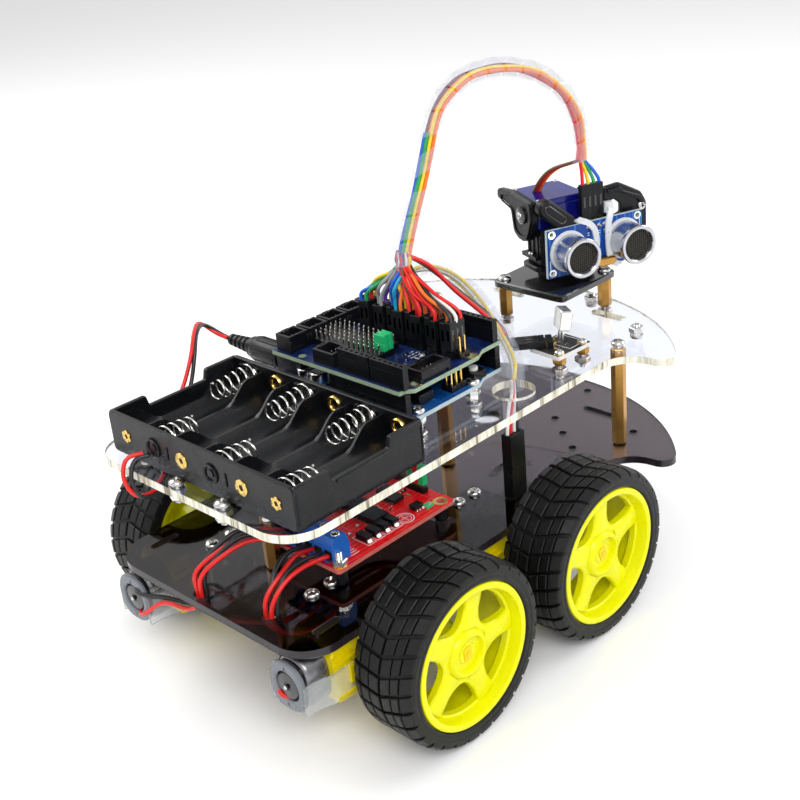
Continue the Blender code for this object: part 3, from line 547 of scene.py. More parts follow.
class Draft:
    """Closed shells drawn in millimetres, each with its own surface, kept as one piece."""

    def __init__(self):
        self.bm = bmesh.new()
        self.surfaces = []

    def slot(self, surface):
        if surface not in self.surfaces:
            self.surfaces.append(surface)
        return self.surfaces.index(surface)

    def shell(self, verts, faces, surface, matrix=None):
        spots = [matrix @ Vector(vert) if matrix else Vector(vert) for vert in verts]
        made = [self.bm.verts.new(spot) for spot in spots]
        index = self.slot(surface)
        for face in faces:
            new = self.bm.faces.new([made[corner] for corner in face])
            new.material_index = index

    def loft(self, rings, surface, matrix=None):
        """A tube of equal rings of points, capped at both ends."""
        verts = [point for ring in rings for point in ring]
        count = len(rings[0])
        faces = []
        for level in range(len(rings) - 1):
            for index in range(count):
                after = (index + 1) % count
                start, end = level * count, (level + 1) * count
                faces.append((start + index, start + after, end + after, end + index))
        faces.append(tuple(reversed(range(count))))
        top = (len(rings) - 1) * count
        faces.append(tuple(range(top, top + count)))
        self.shell(verts, faces, surface, matrix)

    def prism(self, outline, low, high, surface, matrix=None):
        rings = [[(x, y, height) for x, y in outline] for height in (low, high)]
        self.loft(rings, surface, matrix)

    def box(self, size, centre, surface, matrix=None):
        x, y, z = (part / 2 for part in size)
        place = moved(*centre)
        if matrix:
            place = matrix @ place
        self.prism([(-x, -y), (x, -y), (x, y), (-x, y)], -z, z, surface, place)

    def lathe(self, profile, steps, surface, matrix=None):
        """An open (radius, height) profile turned about Z, closed on the axis at both ends."""
        rings = []
        for radius, height in profile:
            rings.append([(x, y, height) for x, y in circle(max(radius, 0.001), steps)])
        self.loft(rings, surface, matrix)

    def ring(self, profile, steps, surface, matrix=None):
        """A closed (radius, height) loop turned about Z."""
        verts = []
        for x, y in circle(1.0, steps):
            verts += [(radius * x, radius * y, height) for radius, height in profile]
        count = len(profile)
        faces = []
        for step in range(steps):
            start, end = step * count, (step + 1) % steps * count
            for index in range(count):
                after = (index + 1) % count
                faces.append((start + index, end + index, end + after, start + after))
        self.shell(verts, faces, surface, matrix)

    def tube(self, points, radius, surface, sides):
        rings = []
        outline = circle(radius, sides)
        for point, side, other in frames_along(points):
            rings.append([point + side * x + other * y for x, y in outline])
        self.loft(rings, surface)

    def ribbon(self, points, width, thickness, surface, matrix, facing):
        """A flat strip along the points, its flat side turned to `facing` at each."""
        rings = []
        for wide, (point, side, other) in zip(facing, frames_along(points)):
            tangent = side.cross(other)
            side = tangent.cross(wide).normalized()
            other = wide.normalized()
            corners = []
            for x, y in CORNERS:
                corners.append(point + side * x * width / 2 + other * y * thickness / 2)
            rings.append(corners)
        self.loft(rings, surface, matrix)

    def plate(self, outline, holes, low, high, surface, edge=None, matrix=None, bevel=0.0):
        """A flat sheet with holes, its cut edge in a surface of its own."""
        curve = bpy.data.curves.new("plate", "CURVE")
        curve.dimensions = "2D"
        curve.fill_mode = "BOTH"
        curve.extrude = (high - low) / 2 - bevel
        curve.bevel_depth = bevel
        curve.bevel_resolution = 0
        curve.offset = -bevel
        for loop in [outline] + list(holes):
            line = curve.splines.new("POLY")
            line.points.add(len(loop) - 1)
            for target, (x, y) in zip(line.points, loop):
                target.co = (x, y, 0.0, 1.0)
            line.use_cyclic_u = True
        guide = bpy.data.objects.new("plate", curve)
        bpy.context.scene.collection.objects.link(guide)
        graph = bpy.context.evaluated_depsgraph_get()
        mesh = bpy.data.meshes.new_from_object(guide.evaluated_get(graph))
        bpy.data.objects.remove(guide, do_unlink=True)
        bpy.data.curves.remove(curve)
        sheet = bmesh.new()
        sheet.from_mesh(mesh)
        bpy.data.meshes.remove(mesh)
        bmesh.ops.remove_doubles(sheet, verts=sheet.verts, dist=0.0005)
        bmesh.ops.recalc_face_normals(sheet, faces=sheet.faces)
        place = moved(0.0, 0.0, (low + high) / 2)
        if matrix:
            place = matrix @ place
        flat, cut = self.slot(surface), self.slot(edge or surface)
        sheet.verts.index_update()
        spots = [self.bm.verts.new(place @ vert.co) for vert in sheet.verts]
        for face in sheet.faces:
            new = self.bm.faces.new([spots[vert.index] for vert in face.verts])
            new.material_index = flat if abs(face.normal.z) > 0.9 else cut
        sheet.free()

    def stamp(self, mesh, surface, matrix):
        """A copy of a ready mesh, such as a screw."""
        self.shell(
            [vert.co for vert in mesh.vertices],
            [tuple(face.vertices) for face in mesh.polygons],
            surface,
            matrix,
        )

    def done(self, name, body, bevel=0.0, angle=35.0, stands_for=(), segments=2):
        """The finished piece, riding on a body, in metres in the row frame."""
        bmesh.ops.recalc_face_normals(self.bm, faces=self.bm.faces)
        place = Matrix.Scale(MM, 4) @ moved(MID_X, 0.0, 0.0)
        bmesh.ops.transform(self.bm, matrix=place, verts=self.bm.verts)
        mesh = bpy.data.meshes.new(name)
        self.bm.to_mesh(mesh)
        self.bm.free()
        for surface in self.surfaces:
            mesh.materials.append(surface)
        piece = bpy.data.objects.new(name, mesh)
        bpy.context.scene.collection.objects.link(piece)
        if bevel:
            edge = piece.modifiers.new("bevel", "BEVEL")
            edge.width = bevel * MM
            edge.segments = segments
            edge.limit_method = "ANGLE"
            edge.angle_limit = math.radians(50)
            edge.harden_normals = False
        mesh.shade_smooth()
        mesh.set_sharp_from_angle(angle=math.radians(angle))
        if body:
            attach(piece, body)
        if stands_for:
            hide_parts(*stands_for)
        return piece


# ---------------------------------------------------------------------- screws and nuts


def cut_mesh(draft, cutter, name):
    """The draft with the cutter's shells taken out, as a plain mesh in drawing millimetres."""
    solids = []
    for part in (draft, cutter):
        bmesh.ops.recalc_face_normals(part.bm, faces=part.bm.faces)
        mesh = bpy.data.meshes.new(name)
        part.bm.to_mesh(mesh)
        part.bm.free()
        solid = bpy.data.objects.new(name, mesh)
        bpy.context.scene.collection.objects.link(solid)
        solids.append(solid)
    step = solids[0].modifiers.new("cut", "BOOLEAN")
    step.operation = "DIFFERENCE"
    step.solver = "EXACT"
    step.object = solids[1]
    graph = bpy.context.evaluated_depsgraph_get()
    result = bpy.data.meshes.new_from_object(solids[0].evaluated_get(graph))
    for solid in solids:
        bpy.data.objects.remove(solid, do_unlink=True)
    return result


def screw_mesh(radius, height):
    """A pan head with a cross recess, its seat at Z = 0."""
    head = Draft()
    profile = [(0.0, 0.0), (radius, 0.0), (radius, height * 0.35)]
    for step in range(1, 6):
        angle = math.radians(90 * step / 6)
        profile.append((radius * math.cos(angle) * 0.97 + 0.03, height * (0.35 + 0.65 * math.sin(angle))))
    profile.append((0.0, height))
    head.lathe(profile, 20, BLACK)
    cross = Draft()
    arm, width = radius * 1.15, radius * 0.3
    half = width / 2
    outline = [
        (half, half), (half, arm / 2), (-half, arm / 2), (-half, half), (-arm / 2, half), (-arm / 2, -half),
        (-half, -half), (-half, -arm / 2), (half, -arm / 2), (half, -half), (arm / 2, -half), (arm / 2, half),
    ]
    cross.prism(outline, height * 0.45, height * 1.5, BLACK)
    return cut_mesh(head, cross, "screw_head")


HEAD_RADIUS = 2.75
HEAD_HEIGHT = 1.9
NUT_RADIUS = 3.1
NUT_HEIGHT = 2.3
THREAD_RADIUS = 1.45
THREAD_PITCH = 0.5
SCREW_HEAD = screw_mesh(HEAD_RADIUS, HEAD_HEIGHT)
SMALL_HEAD = screw_mesh(1.9, 1.3)


def thread_profile(low, high):
    """A screw's shank with its ridges, closed on the axis."""
    radius = THREAD_RADIUS
    profile = [(0.0, low), (radius * 0.8, low)]
    count = max(int((high - low) / THREAD_PITCH), 1)
    step = (high - low) / count
    for index in range(count):
        profile.append((radius, low + (index + 0.5) * step))
        profile.append((radius * 0.86, low + (index + 1) * step))
    profile.append((0.0, high))
    return profile


def screw(draft, x, y, z, up=1, turn=0.0, small=False):
    """A screw head seated at Z, facing up or down."""
    place = moved(x, y, z) @ spun(math.radians(turn))
    if up < 0:
        place = place @ spun(math.pi, "X")
    draft.stamp(SMALL_HEAD if small else SCREW_HEAD, STEEL, place)


def nut(draft, x, y, z, turn, surface=STEEL):
    """A hex nut from Z up, with chamfered corners and a threaded middle."""
    place = moved(x, y, z) @ spun(math.radians(turn))
    rings = []
    for factor, level in ((0.9, 0.0), (1.0, 0.12), (1.0, 0.88), (0.9, 1.0)):
        rings.append([(px, py, NUT_HEIGHT * level) for px, py in circle(NUT_RADIUS * factor, 6)])
    draft.loft(rings, surface, place)
    draft.lathe(thread_profile(NUT_HEIGHT - 0.2, NUT_HEIGHT + 0.9), 12, surface, place)


def shank(draft, x, y, low, high, surface=STEEL):
    draft.lathe(thread_profile(low, high), 12, surface, moved(x, y, 0.0))


def hex_standoff(draft, x, y, low, high, radius=3.0, surface=BRASS, turn=0.0):
    """A hexagonal spacer whose ends are turned down a little."""
    place = moved(x, y, 0.0) @ spun(math.radians(turn))
    rings = []
    for factor, level in ((0.86, low), (1.0, low + 0.5), (1.0, high - 0.5), (0.86, high)):
        rings.append([(px, py, level) for px, py in circle(radius * factor, 6)])
    draft.loft(rings, surface, place)


# -------------------------------------------------------------------------------- decks

DECK_REAR = -85.5
DECK_HALF_WIDTH = 53.0
DECK_CORNER = 14.0
FLARE_START = 72.0
FLARE_RADIUS = 14.0
TIP_CENTRE = (91.5, 67.0)
TIP_RADIUS = 5.5
FRONT_CENTRE_X = 40.0
FRONT_RADIUS = 90.0
STANDOFFS = {
    "front_left": (90.0, 48.0),
    "front_right": (90.0, -48.0),
    "rear": (-55.0, -3.0),
    "middle": (37.0, -3.0),
}
BUNDLE_HOLE = (36.0, -40.0)
LEAD_HOLE = (75.0, 9.0)
REAR_LEAD_HOLES = {"left": (-81.0, 5.0), "right": (-75.0, -24.0)}
DECK_BEVEL = 0.12


def mirrored(spots):
    """The spots, then the same ones on the other side."""
    return [(x, side * y) for side in (1, -1) for x, y in spots]


BRACKET_SCREWS = mirrored([(-59, 27), (-50, 27), (16, 27), (25, 27)])


def deck_outline():
    half = [(DECK_REAR, 0.0)]
    half += arc((DECK_REAR + DECK_CORNER, DECK_HALF_WIDTH - DECK_CORNER), DECK_CORNER, 180, 90, 12)
    half += arc((FLARE_START, DECK_HALF_WIDTH + FLARE_RADIUS), FLARE_RADIUS, -90, -12, 12)
    half += arc(TIP_CENTRE, TIP_RADIUS, 178, 58, 10)
    half += arc((FRONT_CENTRE_X, 0.0), FRONT_RADIUS, 52, 0, 28)
    return half + [(x, -y) for x, y in reversed(half[1:-1])]


def deck_holes(extra, slots):
    holes = [circle(1.55, 16, spot) for spot in extra]
    holes += [slot_outline(length, width, spot, turned) for length, width, spot, turned in slots]
    return holes


def add_decks():
    low_holes = mirrored([(101, 47), (93, 13), (122, 8.5), (76, 35), (84, 24)]) + BRACKET_SCREWS
    low_holes += [(-30, 42), (-30, -42), (-40, 12), (-40, -12), (55, 43), (55, -43)]
    low_slots = [
        (16.0, 3.2, (108.0, 25.0), True), (16.0, 3.2, (108.0, -25.0), True),
        (12.0, 3.2, (46.0, 22.0), False), (12.0, 3.2, (46.0, -22.0), False),
        (14.0, 6.5, (-20.0, 34.0), False), (22.0, 5.0, (0.0, 9.0), False),
        (12.0, 3.2, (-68.0, 44.0), False), (12.0, 3.2, (-68.0, -44.0), False),
    ]
    deck = Draft()
    holes = deck_holes(low_holes, low_slots)
    holes += [circle(5.9, 24, LEAD_HOLE)] + [circle(3.0, 20, spot) for spot in REAR_LEAD_HOLES.values()]
    deck.plate(deck_outline(), holes, LOWER_LOW, LOWER_TOP, SMOKED, SMOKED_EDGE, bevel=DECK_BEVEL)
    deck.done("lower_deck_sheet", "chassis", stands_for=["lower_deck"])
    high_holes = [(104, 47), (104, -47), (122, 8.5), (122, -12), (60, 45), (-78, 30), (-78, -34), (60, 20)]
    high_slots = [
        (12.0, 3.2, (62.0, 33.0), True), (16.0, 3.2, (112.0, 25.0), True), (16.0, 3.2, (113.0, -27.0), True),
    ]
    deck = Draft()
    holes = deck_holes(high_holes, high_slots) + [circle(7.9, 28, BUNDLE_HOLE)]
    deck.plate(deck_outline(), holes, UPPER_LOW, UPPER_TOP, CLEAR, CUT_EDGE, bevel=DECK_BEVEL)
    deck.done("upper_deck_sheet", "chassis", stands_for=["upper_deck"])


def add_standoffs():
    pillars = Draft()
    for name, (x, y) in STANDOFFS.items():
        hex_standoff(pillars, x, y, LOWER_TOP + 0.3, UPPER_LOW - 0.3, turn=12.0)
    pillars.done("deck_pillars", "chassis", stands_for=["deck_standoff_" + name for name in STANDOFFS])
    heads = Draft()
    for name, (x, y) in STANDOFFS.items():
        if name.startswith("front"):
            screw(heads, x, y, UPPER_TOP + 0.05, turn=20)
        screw(heads, x, y, LOWER_LOW - 0.05, up=-1)
        shank(heads, x, y, LOWER_LOW - 0.2, LOWER_TOP + 0.5)
        shank(heads, x, y, UPPER_LOW - 0.5, UPPER_TOP + 0.1)
    for index, (x, y) in enumerate(BRACKET_SCREWS):
        screw(heads, x, y, LOWER_TOP + 0.05, turn=25 * index)
        shank(heads, x, y, LOWER_LOW - 2.0, LOWER_TOP + 0.1)
    for x, y in ((-82, 7), (-82, -17)):
        nut(heads, x, y, UPPER_LOW - NUT_HEIGHT - 0.05, turn=10)
        shank(heads, x, y, UPPER_LOW - 4.0, UPPER_TOP + 0.1)
        screw(heads, x, y, UPPER_TOP + 0.05, turn=40)
    for x, y in ((104, -47), (122, -12), (122, 8.5)):
        nut(heads, x, y, UPPER_TOP + 0.05, turn=15)
        shank(heads, x, y, UPPER_LOW - 1.6, UPPER_TOP + 0.3)
        screw(heads, x, y, UPPER_LOW - 0.05, up=-1)
    heads.done("deck_screws", "chassis", angle=40)


# ------------------------------------------------------------------------------- wheels

WHEEL_BASE = 75.0
WHEEL_RADIUS = 33.0
TRACK_OUTER = 163.0
WHEEL_MIDDLE = -13.0
TREAD_HALF = 12.6
TREAD_ROWS = 30
TREAD_GROOVE = 1.25
TREAD_RISE = 1.15
TREAD_COLUMNS = ((-12.6, -8.9), (-8.3, -5.0), (-4.5, -0.5), (0.5, 4.5), (5.0, 8.3), (8.9, 12.6))
SPOKE_COUNT = 5


def wheel_places():
    """(name, placing of a wheel drawn about Z with its outer face at Z = 0)."""
    for end, sign in (("front", 1), ("rear", -1)):
        for hand, side in (("left", 1), ("right", -1)):
            place = moved(sign * WHEEL_BASE / 2, side * TRACK_OUTER / 2, WHEEL_RADIUS)
            spin = 17.0 if end == "front" else 3.0
            turn = spun(-side * math.pi / 2, "X") @ spun(math.radians(spin))
            yield f"{end}_{hand}", place @ turn


def crown(width):
    """Tyre's outer radius at a distance from its middle plane: flat, then rounded shoulders."""
    past = max(abs(width) - 8.6, 0.0)
    return WHEEL_RADIUS - 1.55 * (past / 4.0) ** 2


def tread_shift(width):
    """How far round, in mm, the zigzag carries the tread at this distance from the middle."""
    if width < 0:
        return 2.7 + width * 0.16
    return 2.7 - width * 0.42


def tread_block(draft, middle, low, high):
    """One raised block of the tread: straight walls, rounded top, following the zigzag."""
    pitch = 2 * math.pi * WHEEL_RADIUS / TREAD_ROWS
    half = (pitch - TREAD_GROOVE) / 2
    rings = []
    for inset, rise in ((0.0, -TREAD_RISE - 0.3), (0.0, -0.28), (0.3, 0.0)):
        perimeter = []
        widths = (low + inset, (low + high) / 2, high - inset)
        reach = half - inset
        outline = [(width, -reach) for width in widths] + [(widths[2], 0.0)]
        outline += [(width, reach) for width in reversed(widths)] + [(widths[0], 0.0)]
        for width, round_way in outline:
            angle = middle + (round_way + tread_shift(width)) / WHEEL_RADIUS
            radius = crown(width) + rise
            perimeter.append((radius * math.cos(angle), radius * math.sin(angle), WHEEL_MIDDLE + width))
        rings.append(perimeter)
    draft.loft(rings, RUBBER)


def tyre_draft():
    tyre = Draft()
    floor = []
    for step in range(17):
        width = TREAD_HALF - 2 * TREAD_HALF * step / 16
        floor.append((crown(width) - TREAD_RISE, WHEEL_MIDDLE + width))
    outer = [
        (26.4, -0.9), (26.9, -0.45), (27.8, -0.3), (28.3, -0.5), (29.4, -0.28), (30.2, -0.42), (30.9, -0.8),
    ]
    inner = [(radius, 2 * WHEEL_MIDDLE - z) for radius, z in reversed(outer)]
    tyre.ring(outer + floor[1:-1] + inner, 120, RUBBER)
    for row in range(TREAD_ROWS):
        middle = 2 * math.pi * row / TREAD_ROWS
        for low, high in TREAD_COLUMNS:
            tread_block(tyre, middle, low, high)
    return tyre


def spoke_gap(index):
    """The rounded opening between two spokes, which widen again at both ends."""
    middle = 360.0 / SPOKE_COUNT * (index + 0.5)
    outer = arc((0, 0), 21.9, middle - 26.5, middle + 26.5, 8)
    waist = [(17.0, 24.0), (12.4, 15.0), (10.9, 0.0), (12.4, -15.0), (17.0, -24.0)]
    inner = []
    for radius, off in waist:
        angle = math.radians(middle + off)
        inner.append((radius * math.cos(angle), radius * math.sin(angle)))
    return rounded(outer + inner, 1.6, 3)


def rim_draft():
    rim = Draft()
    barrel = [
        (26.2, -1.3), (25.9, -0.8), (25.4, -0.6), (24.2, -0.6), (23.7, -0.9), (23.0, -3.4), (22.6, -5.6),
        (22.4, -6.4), (22.9, -8.0), (24.2, -9.0), (24.4, -24.4), (26.1, -24.6),
    ]
    rim.ring(barrel, 96, YELLOW)
    gaps = [spoke_gap(index) for index in range(SPOKE_COUNT)]
    rim.plate(circle(23.2, 72), gaps, -8.2, -4.7, YELLOW, bevel=0.55)
    hub = [
        (0.0, -22.0), (7.2, -22.0), (7.5, -21.6), (7.5, -8.6), (9.4, -7.9), (9.3, -5.0), (8.5, -3.6),
        (7.9, -2.9), (7.3, -2.65), (6.8, -2.8), (6.5, -3.3), (6.2, -6.2), (3.9, -6.4), (3.8, -4.6),
        (3.5, -4.3), (0.0, -4.3),
    ]
    rim.lathe(hub, 48, YELLOW)
    flat = rounded(rectangle(3.7, 5.3), 0.9, 4)
    rim.prism(flat, -5.0, -3.9, GEAR_YELLOW)
    rim.lathe([(0, -4.2), (1.0, -4.2), (1.0, -3.6), (0.7, -3.75), (0.0, -3.75)], 16, GEAR_YELLOW)
    for index in range(SPOKE_COUNT):
        place = spun(2 * math.pi * index / SPOKE_COUNT)
        ridge = [(9.0, -4.6), (9.0, 4.6), (15.5, 3.5), (22.4, 4.4), (22.4, -4.4), (15.5, -3.5)]
        rings = []
        for inset, level in ((0.0, -5.4), (0.35, -4.7), (1.5, -4.25)):
            rings.append([(x, y * (1 - inset / 4.6), level) for x, y in ridge])
        rim.loft(rings, YELLOW, place)
    return rim


def add_wheels():
    tyre, rim = tyre_draft(), rim_draft()
    shapes = []
    for draft in (tyre, rim):
        mesh = bpy.data.meshes.new("wheel_shape")
        bmesh.ops.recalc_face_normals(draft.bm, faces=draft.bm.faces)
        draft.bm.to_mesh(mesh)
        draft.bm.free()
        shapes.append((mesh, draft.surfaces))
    for name, place in wheel_places():
        for label, nodes, (mesh, surfaces) in zip(
            ("tread_tyre_", "spoked_rim_"),
            (["tyre_" + name], ["wheel_rim_" + name, "axle_" + name]),
            shapes,
        ):
            copy = Draft()
            copy.bm.from_mesh(mesh)
            copy.surfaces = surfaces
            bmesh.ops.transform(copy.bm, matrix=place, verts=copy.bm.verts)
            copy.done(label + name, "wheel_" + name, stands_for=nodes, angle=32)


# ------------------------------------------------------------------------------- motors

GEARBOX_HEIGHT = 22.3
GEARBOX_DEPTH = 18.8
GEARBOX_OUTER_Y = 51.5
GEARBOX_FRONT = 11.0
GEARBOX_REAR = 36.5
CAN_SHOWN = 10.6
BRACKET_SIZE = (23.0, 12.0, 14.7)
BRACKET_BACK = 17.0


def motor_frame(sign, side):
    """Drawing frame of one gear motor: X forward from the axle, Y to the wheel, Z up."""
    place = moved(sign * WHEEL_BASE / 2, side * (GEARBOX_OUTER_Y - GEARBOX_DEPTH / 2), WHEEL_RADIUS)
    return place @ Matrix.Scale(side, 4, (0, 1, 0))


def gearbox(draft, place):
    half = GEARBOX_DEPTH / 2
    height = GEARBOX_HEIGHT
    lie = spun(math.pi / 2, "X")
    length = GEARBOX_FRONT + GEARBOX_REAR
    middle = (GEARBOX_FRONT - GEARBOX_REAR) / 2
    case = rounded(rectangle(length, height, (middle, 0.0)), 4.0, 5)
    for low, high in ((-half, -0.15), (0.15, half)):
        draft.plate(case, [], low, high, GEAR_YELLOW, matrix=place @ lie, bevel=0.5)
    inner = [(x * 0.985 + middle * 0.015, y * 0.975) for x, y in case]
    draft.prism(inner, -0.6, 0.6, GEAR_YELLOW, place @ lie)
    tab = rounded(rectangle(6.4, 6.0, (GEARBOX_FRONT + 2.0, 0.0)), 1.6, 4)
    eye = circle(1.5, 16, (GEARBOX_FRONT + 2.6, 0.0))
    draft.plate(tab, [eye], -1.5, 1.5, GEAR_YELLOW, matrix=place @ lie, bevel=0.2)
    for sign in (1, -1):
        face = place @ spun(-sign * math.pi / 2, "X")
        boss = [
            (0, half - 1), (5.2, half - 1), (5.2, half + 0.5), (4.7, half + 0.9), (3.4, half + 0.9),
            (3.4, half + 0.2), (0, half + 0.2),
        ]
        draft.lathe(boss, 32, GEAR_YELLOW, face)
        pin = [(0, half - 1), (2.0, half - 1), (2.0, half + 0.6), (1.6, half + 0.8), (0, half + 0.8)]
        draft.lathe(pin, 20, GEAR_YELLOW, face @ moved(-11.0, 0.0, 0.0))
        for x, z in ((8.0, 8.0), (8.0, -8.0), (-20.3, 8.75), (-20.3, -8.75), (-5.5, -8.0)):
            draft.stamp(SMALL_HEAD, STEEL, face @ moved(x, z, half - 0.3))
    for side in (1, -1):
        y = side * half
        draft.box((7.6, 0.9, 15.0), (3.8 - GEARBOX_REAR, y, 0.0), GEAR_YELLOW, place)
        draft.box((2.6, 2.2, 6.4), (7.2 - GEARBOX_REAR, y + side * 0.9, -1.0), GEAR_YELLOW, place)
        for z in (5.2, -7.6):
            draft.box((9.5, 1.5, 1.0), (5.0 - GEARBOX_REAR, y + side * 0.5, z), GEAR_YELLOW, place)


def can_outline(height, depth):
    """The can's section: round, with a flat on each side."""
    return rounded(rectangle(height, depth), min(height, depth) * 0.48, 6)


def motor_can(draft, place):
    """The motor drawn rearwards from the gearbox's end face; its front part is inside."""
    back = place @ moved(-GEARBOX_REAR, 0, 0) @ spun(-math.pi / 2, "Y")
    rings = []
    for level, scale in ((-12.0, 0.94), (-11.6, 1.0), (7.6, 1.0), (8.4, 0.97), (9.0, 0.9)):
        rings.append([(x * scale, y * scale, level) for x, y in can_outline(19.2, 14.8)])
    draft.loft(rings, DARK_STEEL, back)
    draft.plate(can_outline(17.4, 13.2), [], 8.8, 10.3, GLOSS_BLACK, matrix=back, bevel=0.4)
    boss = [
        (0, 10.0), (5.2, 10.0), (5.2, 11.2), (4.7, 11.7), (1.6, 11.9), (1.3, 11.5), (0.9, 11.5), (0.9, 12.6),
        (0.7, 12.8), (0, 12.8),
    ]
    draft.lathe(boss, 28, GLOSS_BLACK, back)
    draft.lathe([(0, 12.7), (0.75, 12.75), (0.5, 13.1), (0, 13.15)], 16, STEEL, back)
    for sign in (1, -1):
        draft.box((1.4, 0.5, 3.4), (sign * 6.9, 0.0, 10.6), BRASS, back)


def motor_strap(draft, place):
    """The clear strap that holds the can to its gearbox: a ring behind it, and two arms."""
    back = place @ moved(-GEARBOX_REAR, 0, 0) @ spun(-math.pi / 2, "Y")
    draft.plate(can_outline(18.2, 16.4), [circle(5.6, 32)], 10.5, 12.3, STRAP, matrix=back, bevel=0.5)
    inner = [(12.0, 7.7), (6.5, 7.9), (1.0, 9.9), (-8.8, 9.9)]
    outer = [(-8.8, 10.6), (1.2, 10.6), (7.0, 8.7), (12.0, 8.5)]
    for side in (1, -1):
        arm = [(-level - GEARBOX_REAR, y * side) for level, y in inner + outer]
        draft.prism(arm, -8.4, 2.6, CLEAR_STRAP, place)


def bracket(draft, place):
    """The milled block that carries a gear motor: two bolts across, two screws from above."""
    x = -BRACKET_BACK
    y = -(GEARBOX_DEPTH / 2 + 0.3 + BRACKET_SIZE[1] / 2)
    top = LOWER_LOW - 0.3 - WHEEL_RADIUS
    length, depth, height = BRACKET_SIZE
    outline = rounded(rectangle(length, height, (x, top - height / 2)), 0.8, 3)
    lie = moved(0.0, y, 0.0) @ spun(math.pi / 2, "X")
    holes = [circle(1.6, 18, (-20.3, 8.75)), circle(3.0, 20, (x + 5.0, top - height + 5.0))]
    draft.plate(outline, holes, -depth / 2, depth / 2, ALUMINIUM, matrix=place @ lie, bevel=0.4)
    inside = place @ moved(0, y - depth / 2, 0) @ spun(math.pi / 2, "X")
    draft.stamp(SCREW_HEAD, STEEL, inside @ moved(-20.3, 8.75, -0.05))


def add_motors():
    for end, sign in (("front", 1), ("rear", -1)):
        for hand, side in (("left", 1), ("right", -1)):
            name = f"{end}_{hand}"
            for draw, label, node in (
                (gearbox, "gear_case_", "gearbox_"), (motor_can, "motor_", "motor_can_"),
                (motor_strap, "motor_strap_", None), (bracket, "bracket_", "motor_bracket_"),
            ):
                piece = Draft()
                draw(piece, motor_frame(sign, side))
                piece.done(label + name, "chassis", stands_for=[node + name] if node else [])


# ------------------------------------------------------------------------------- leads


THICK_LEAD = 0.85
THIN_LEAD = 0.8


def lead(name, knots, radius, colour, stands_for=()):
    """One insulated wire through the knots, its sharp turns eased, riding on the chassis as a piece of its
    own.
    """
    route = eased(smooth_route(knots, 6), BEND_DIAMETERS * 2 * radius)
    wire = Draft()
    wire.tube(route, radius, wire_finish(colour), 8)
    piece = wire.done(name, "chassis", angle=60, stands_for=stands_for)


# ------------------------------------------------------------------------ battery tray

TRAY_LOW, TRAY_HIGH = node_box("battery_tray")
TRAY_WALL = 1.8
CELL_PITCH = 15.4
CELL_RADIUS = 7.3
CRADLE_SIDE = (0.0, 1.7, 3.4, 5.0, 6.2, 6.9, 7.22, 7.34)
RIB_TOP, RIB_DIP = 103.6, 96.4
CELL_MIDDLES = [(TRAY_LOW.y + TRAY_HIGH.y) / 2 + (index - 2.5) * CELL_PITCH for index in range(6)]
CELL_AXIS_Z = TRAY_LOW.z + 8.8
SPRING_REACH = 15.5
SPRING_TURNS = 5.2
PETALS = 6


def tray_height(x, y):
    """Top of the tray's floor: six round cradles, and ribs that dip in the middle."""
    away = min(x - TRAY_LOW.x, TRAY_HIGH.x - x) - TRAY_WALL
    blend = min(max((away - 7.0) / 11.0, 0.0), 1.0)
    blend = blend * blend * (3 - 2 * blend)
    rib = RIB_TOP + (RIB_DIP - RIB_TOP) * blend
    off = min(abs(y - middle) for middle in CELL_MIDDLES)
    if off >= CELL_RADIUS - 0.02:
        return rib
    cradle = CELL_AXIS_Z - math.sqrt(CELL_RADIUS**2 - off**2)
    return min(cradle + max(off - 6.6, 0.0) ** 2 * 9.0, rib)


def tray_floor(tray):
    """The floor as a grid of heights over a flat foot, closed round its edge."""
    low_x, high_x = TRAY_LOW.x + 1.0, TRAY_HIGH.x - 1.0
    low_y, high_y = TRAY_LOW.y + 1.0, TRAY_HIGH.y - 1.0
    columns = [low_x + (high_x - low_x) * step / 44 for step in range(45)]
    rows = [low_y]
    for middle in CELL_MIDDLES:
        rows += [middle - off for off in reversed(CRADLE_SIDE[1:])] + [middle + off for off in CRADLE_SIDE]
    rows.append(high_y)
    verts, faces = [], []
    for level in ("top", "foot"):
        for x in columns:
            for y in rows:
                verts.append((x, y, tray_height(x, y) if level == "top" else TRAY_LOW.z))
    wide, total = len(rows), len(rows) * len(columns)
    for i in range(len(columns) - 1):
        for j in range(wide - 1):
            a = i * wide + j
            faces.append((a, a + wide, a + wide + 1, a + 1))
            faces.append((total + a + 1, total + a + wide + 1, total + a + wide, total + a))
    edge = list(range(wide))
    edge += [i * wide + wide - 1 for i in range(1, len(columns))]
    edge += [(len(columns) - 1) * wide + j for j in range(wide - 2, -1, -1)]
    edge += [i * wide for i in range(len(columns) - 2, 0, -1)]
    for index, start in enumerate(edge):
        end = edge[(index + 1) % len(edge)]
        faces.append((start, end, total + end, total + start))
    tray.shell(verts, faces, TRAY_BLACK)


def flower(radius):
    """Outline of a rivet whose end is split and rolled out into petals."""
    points = []
    for step in range(PETALS * 8):
        angle = 2 * math.pi * step / (PETALS * 8)
        reach = radius * (0.84 + 0.16 * math.cos(PETALS * angle))
        points.append((reach * math.cos(angle), reach * math.sin(angle)))
    return points


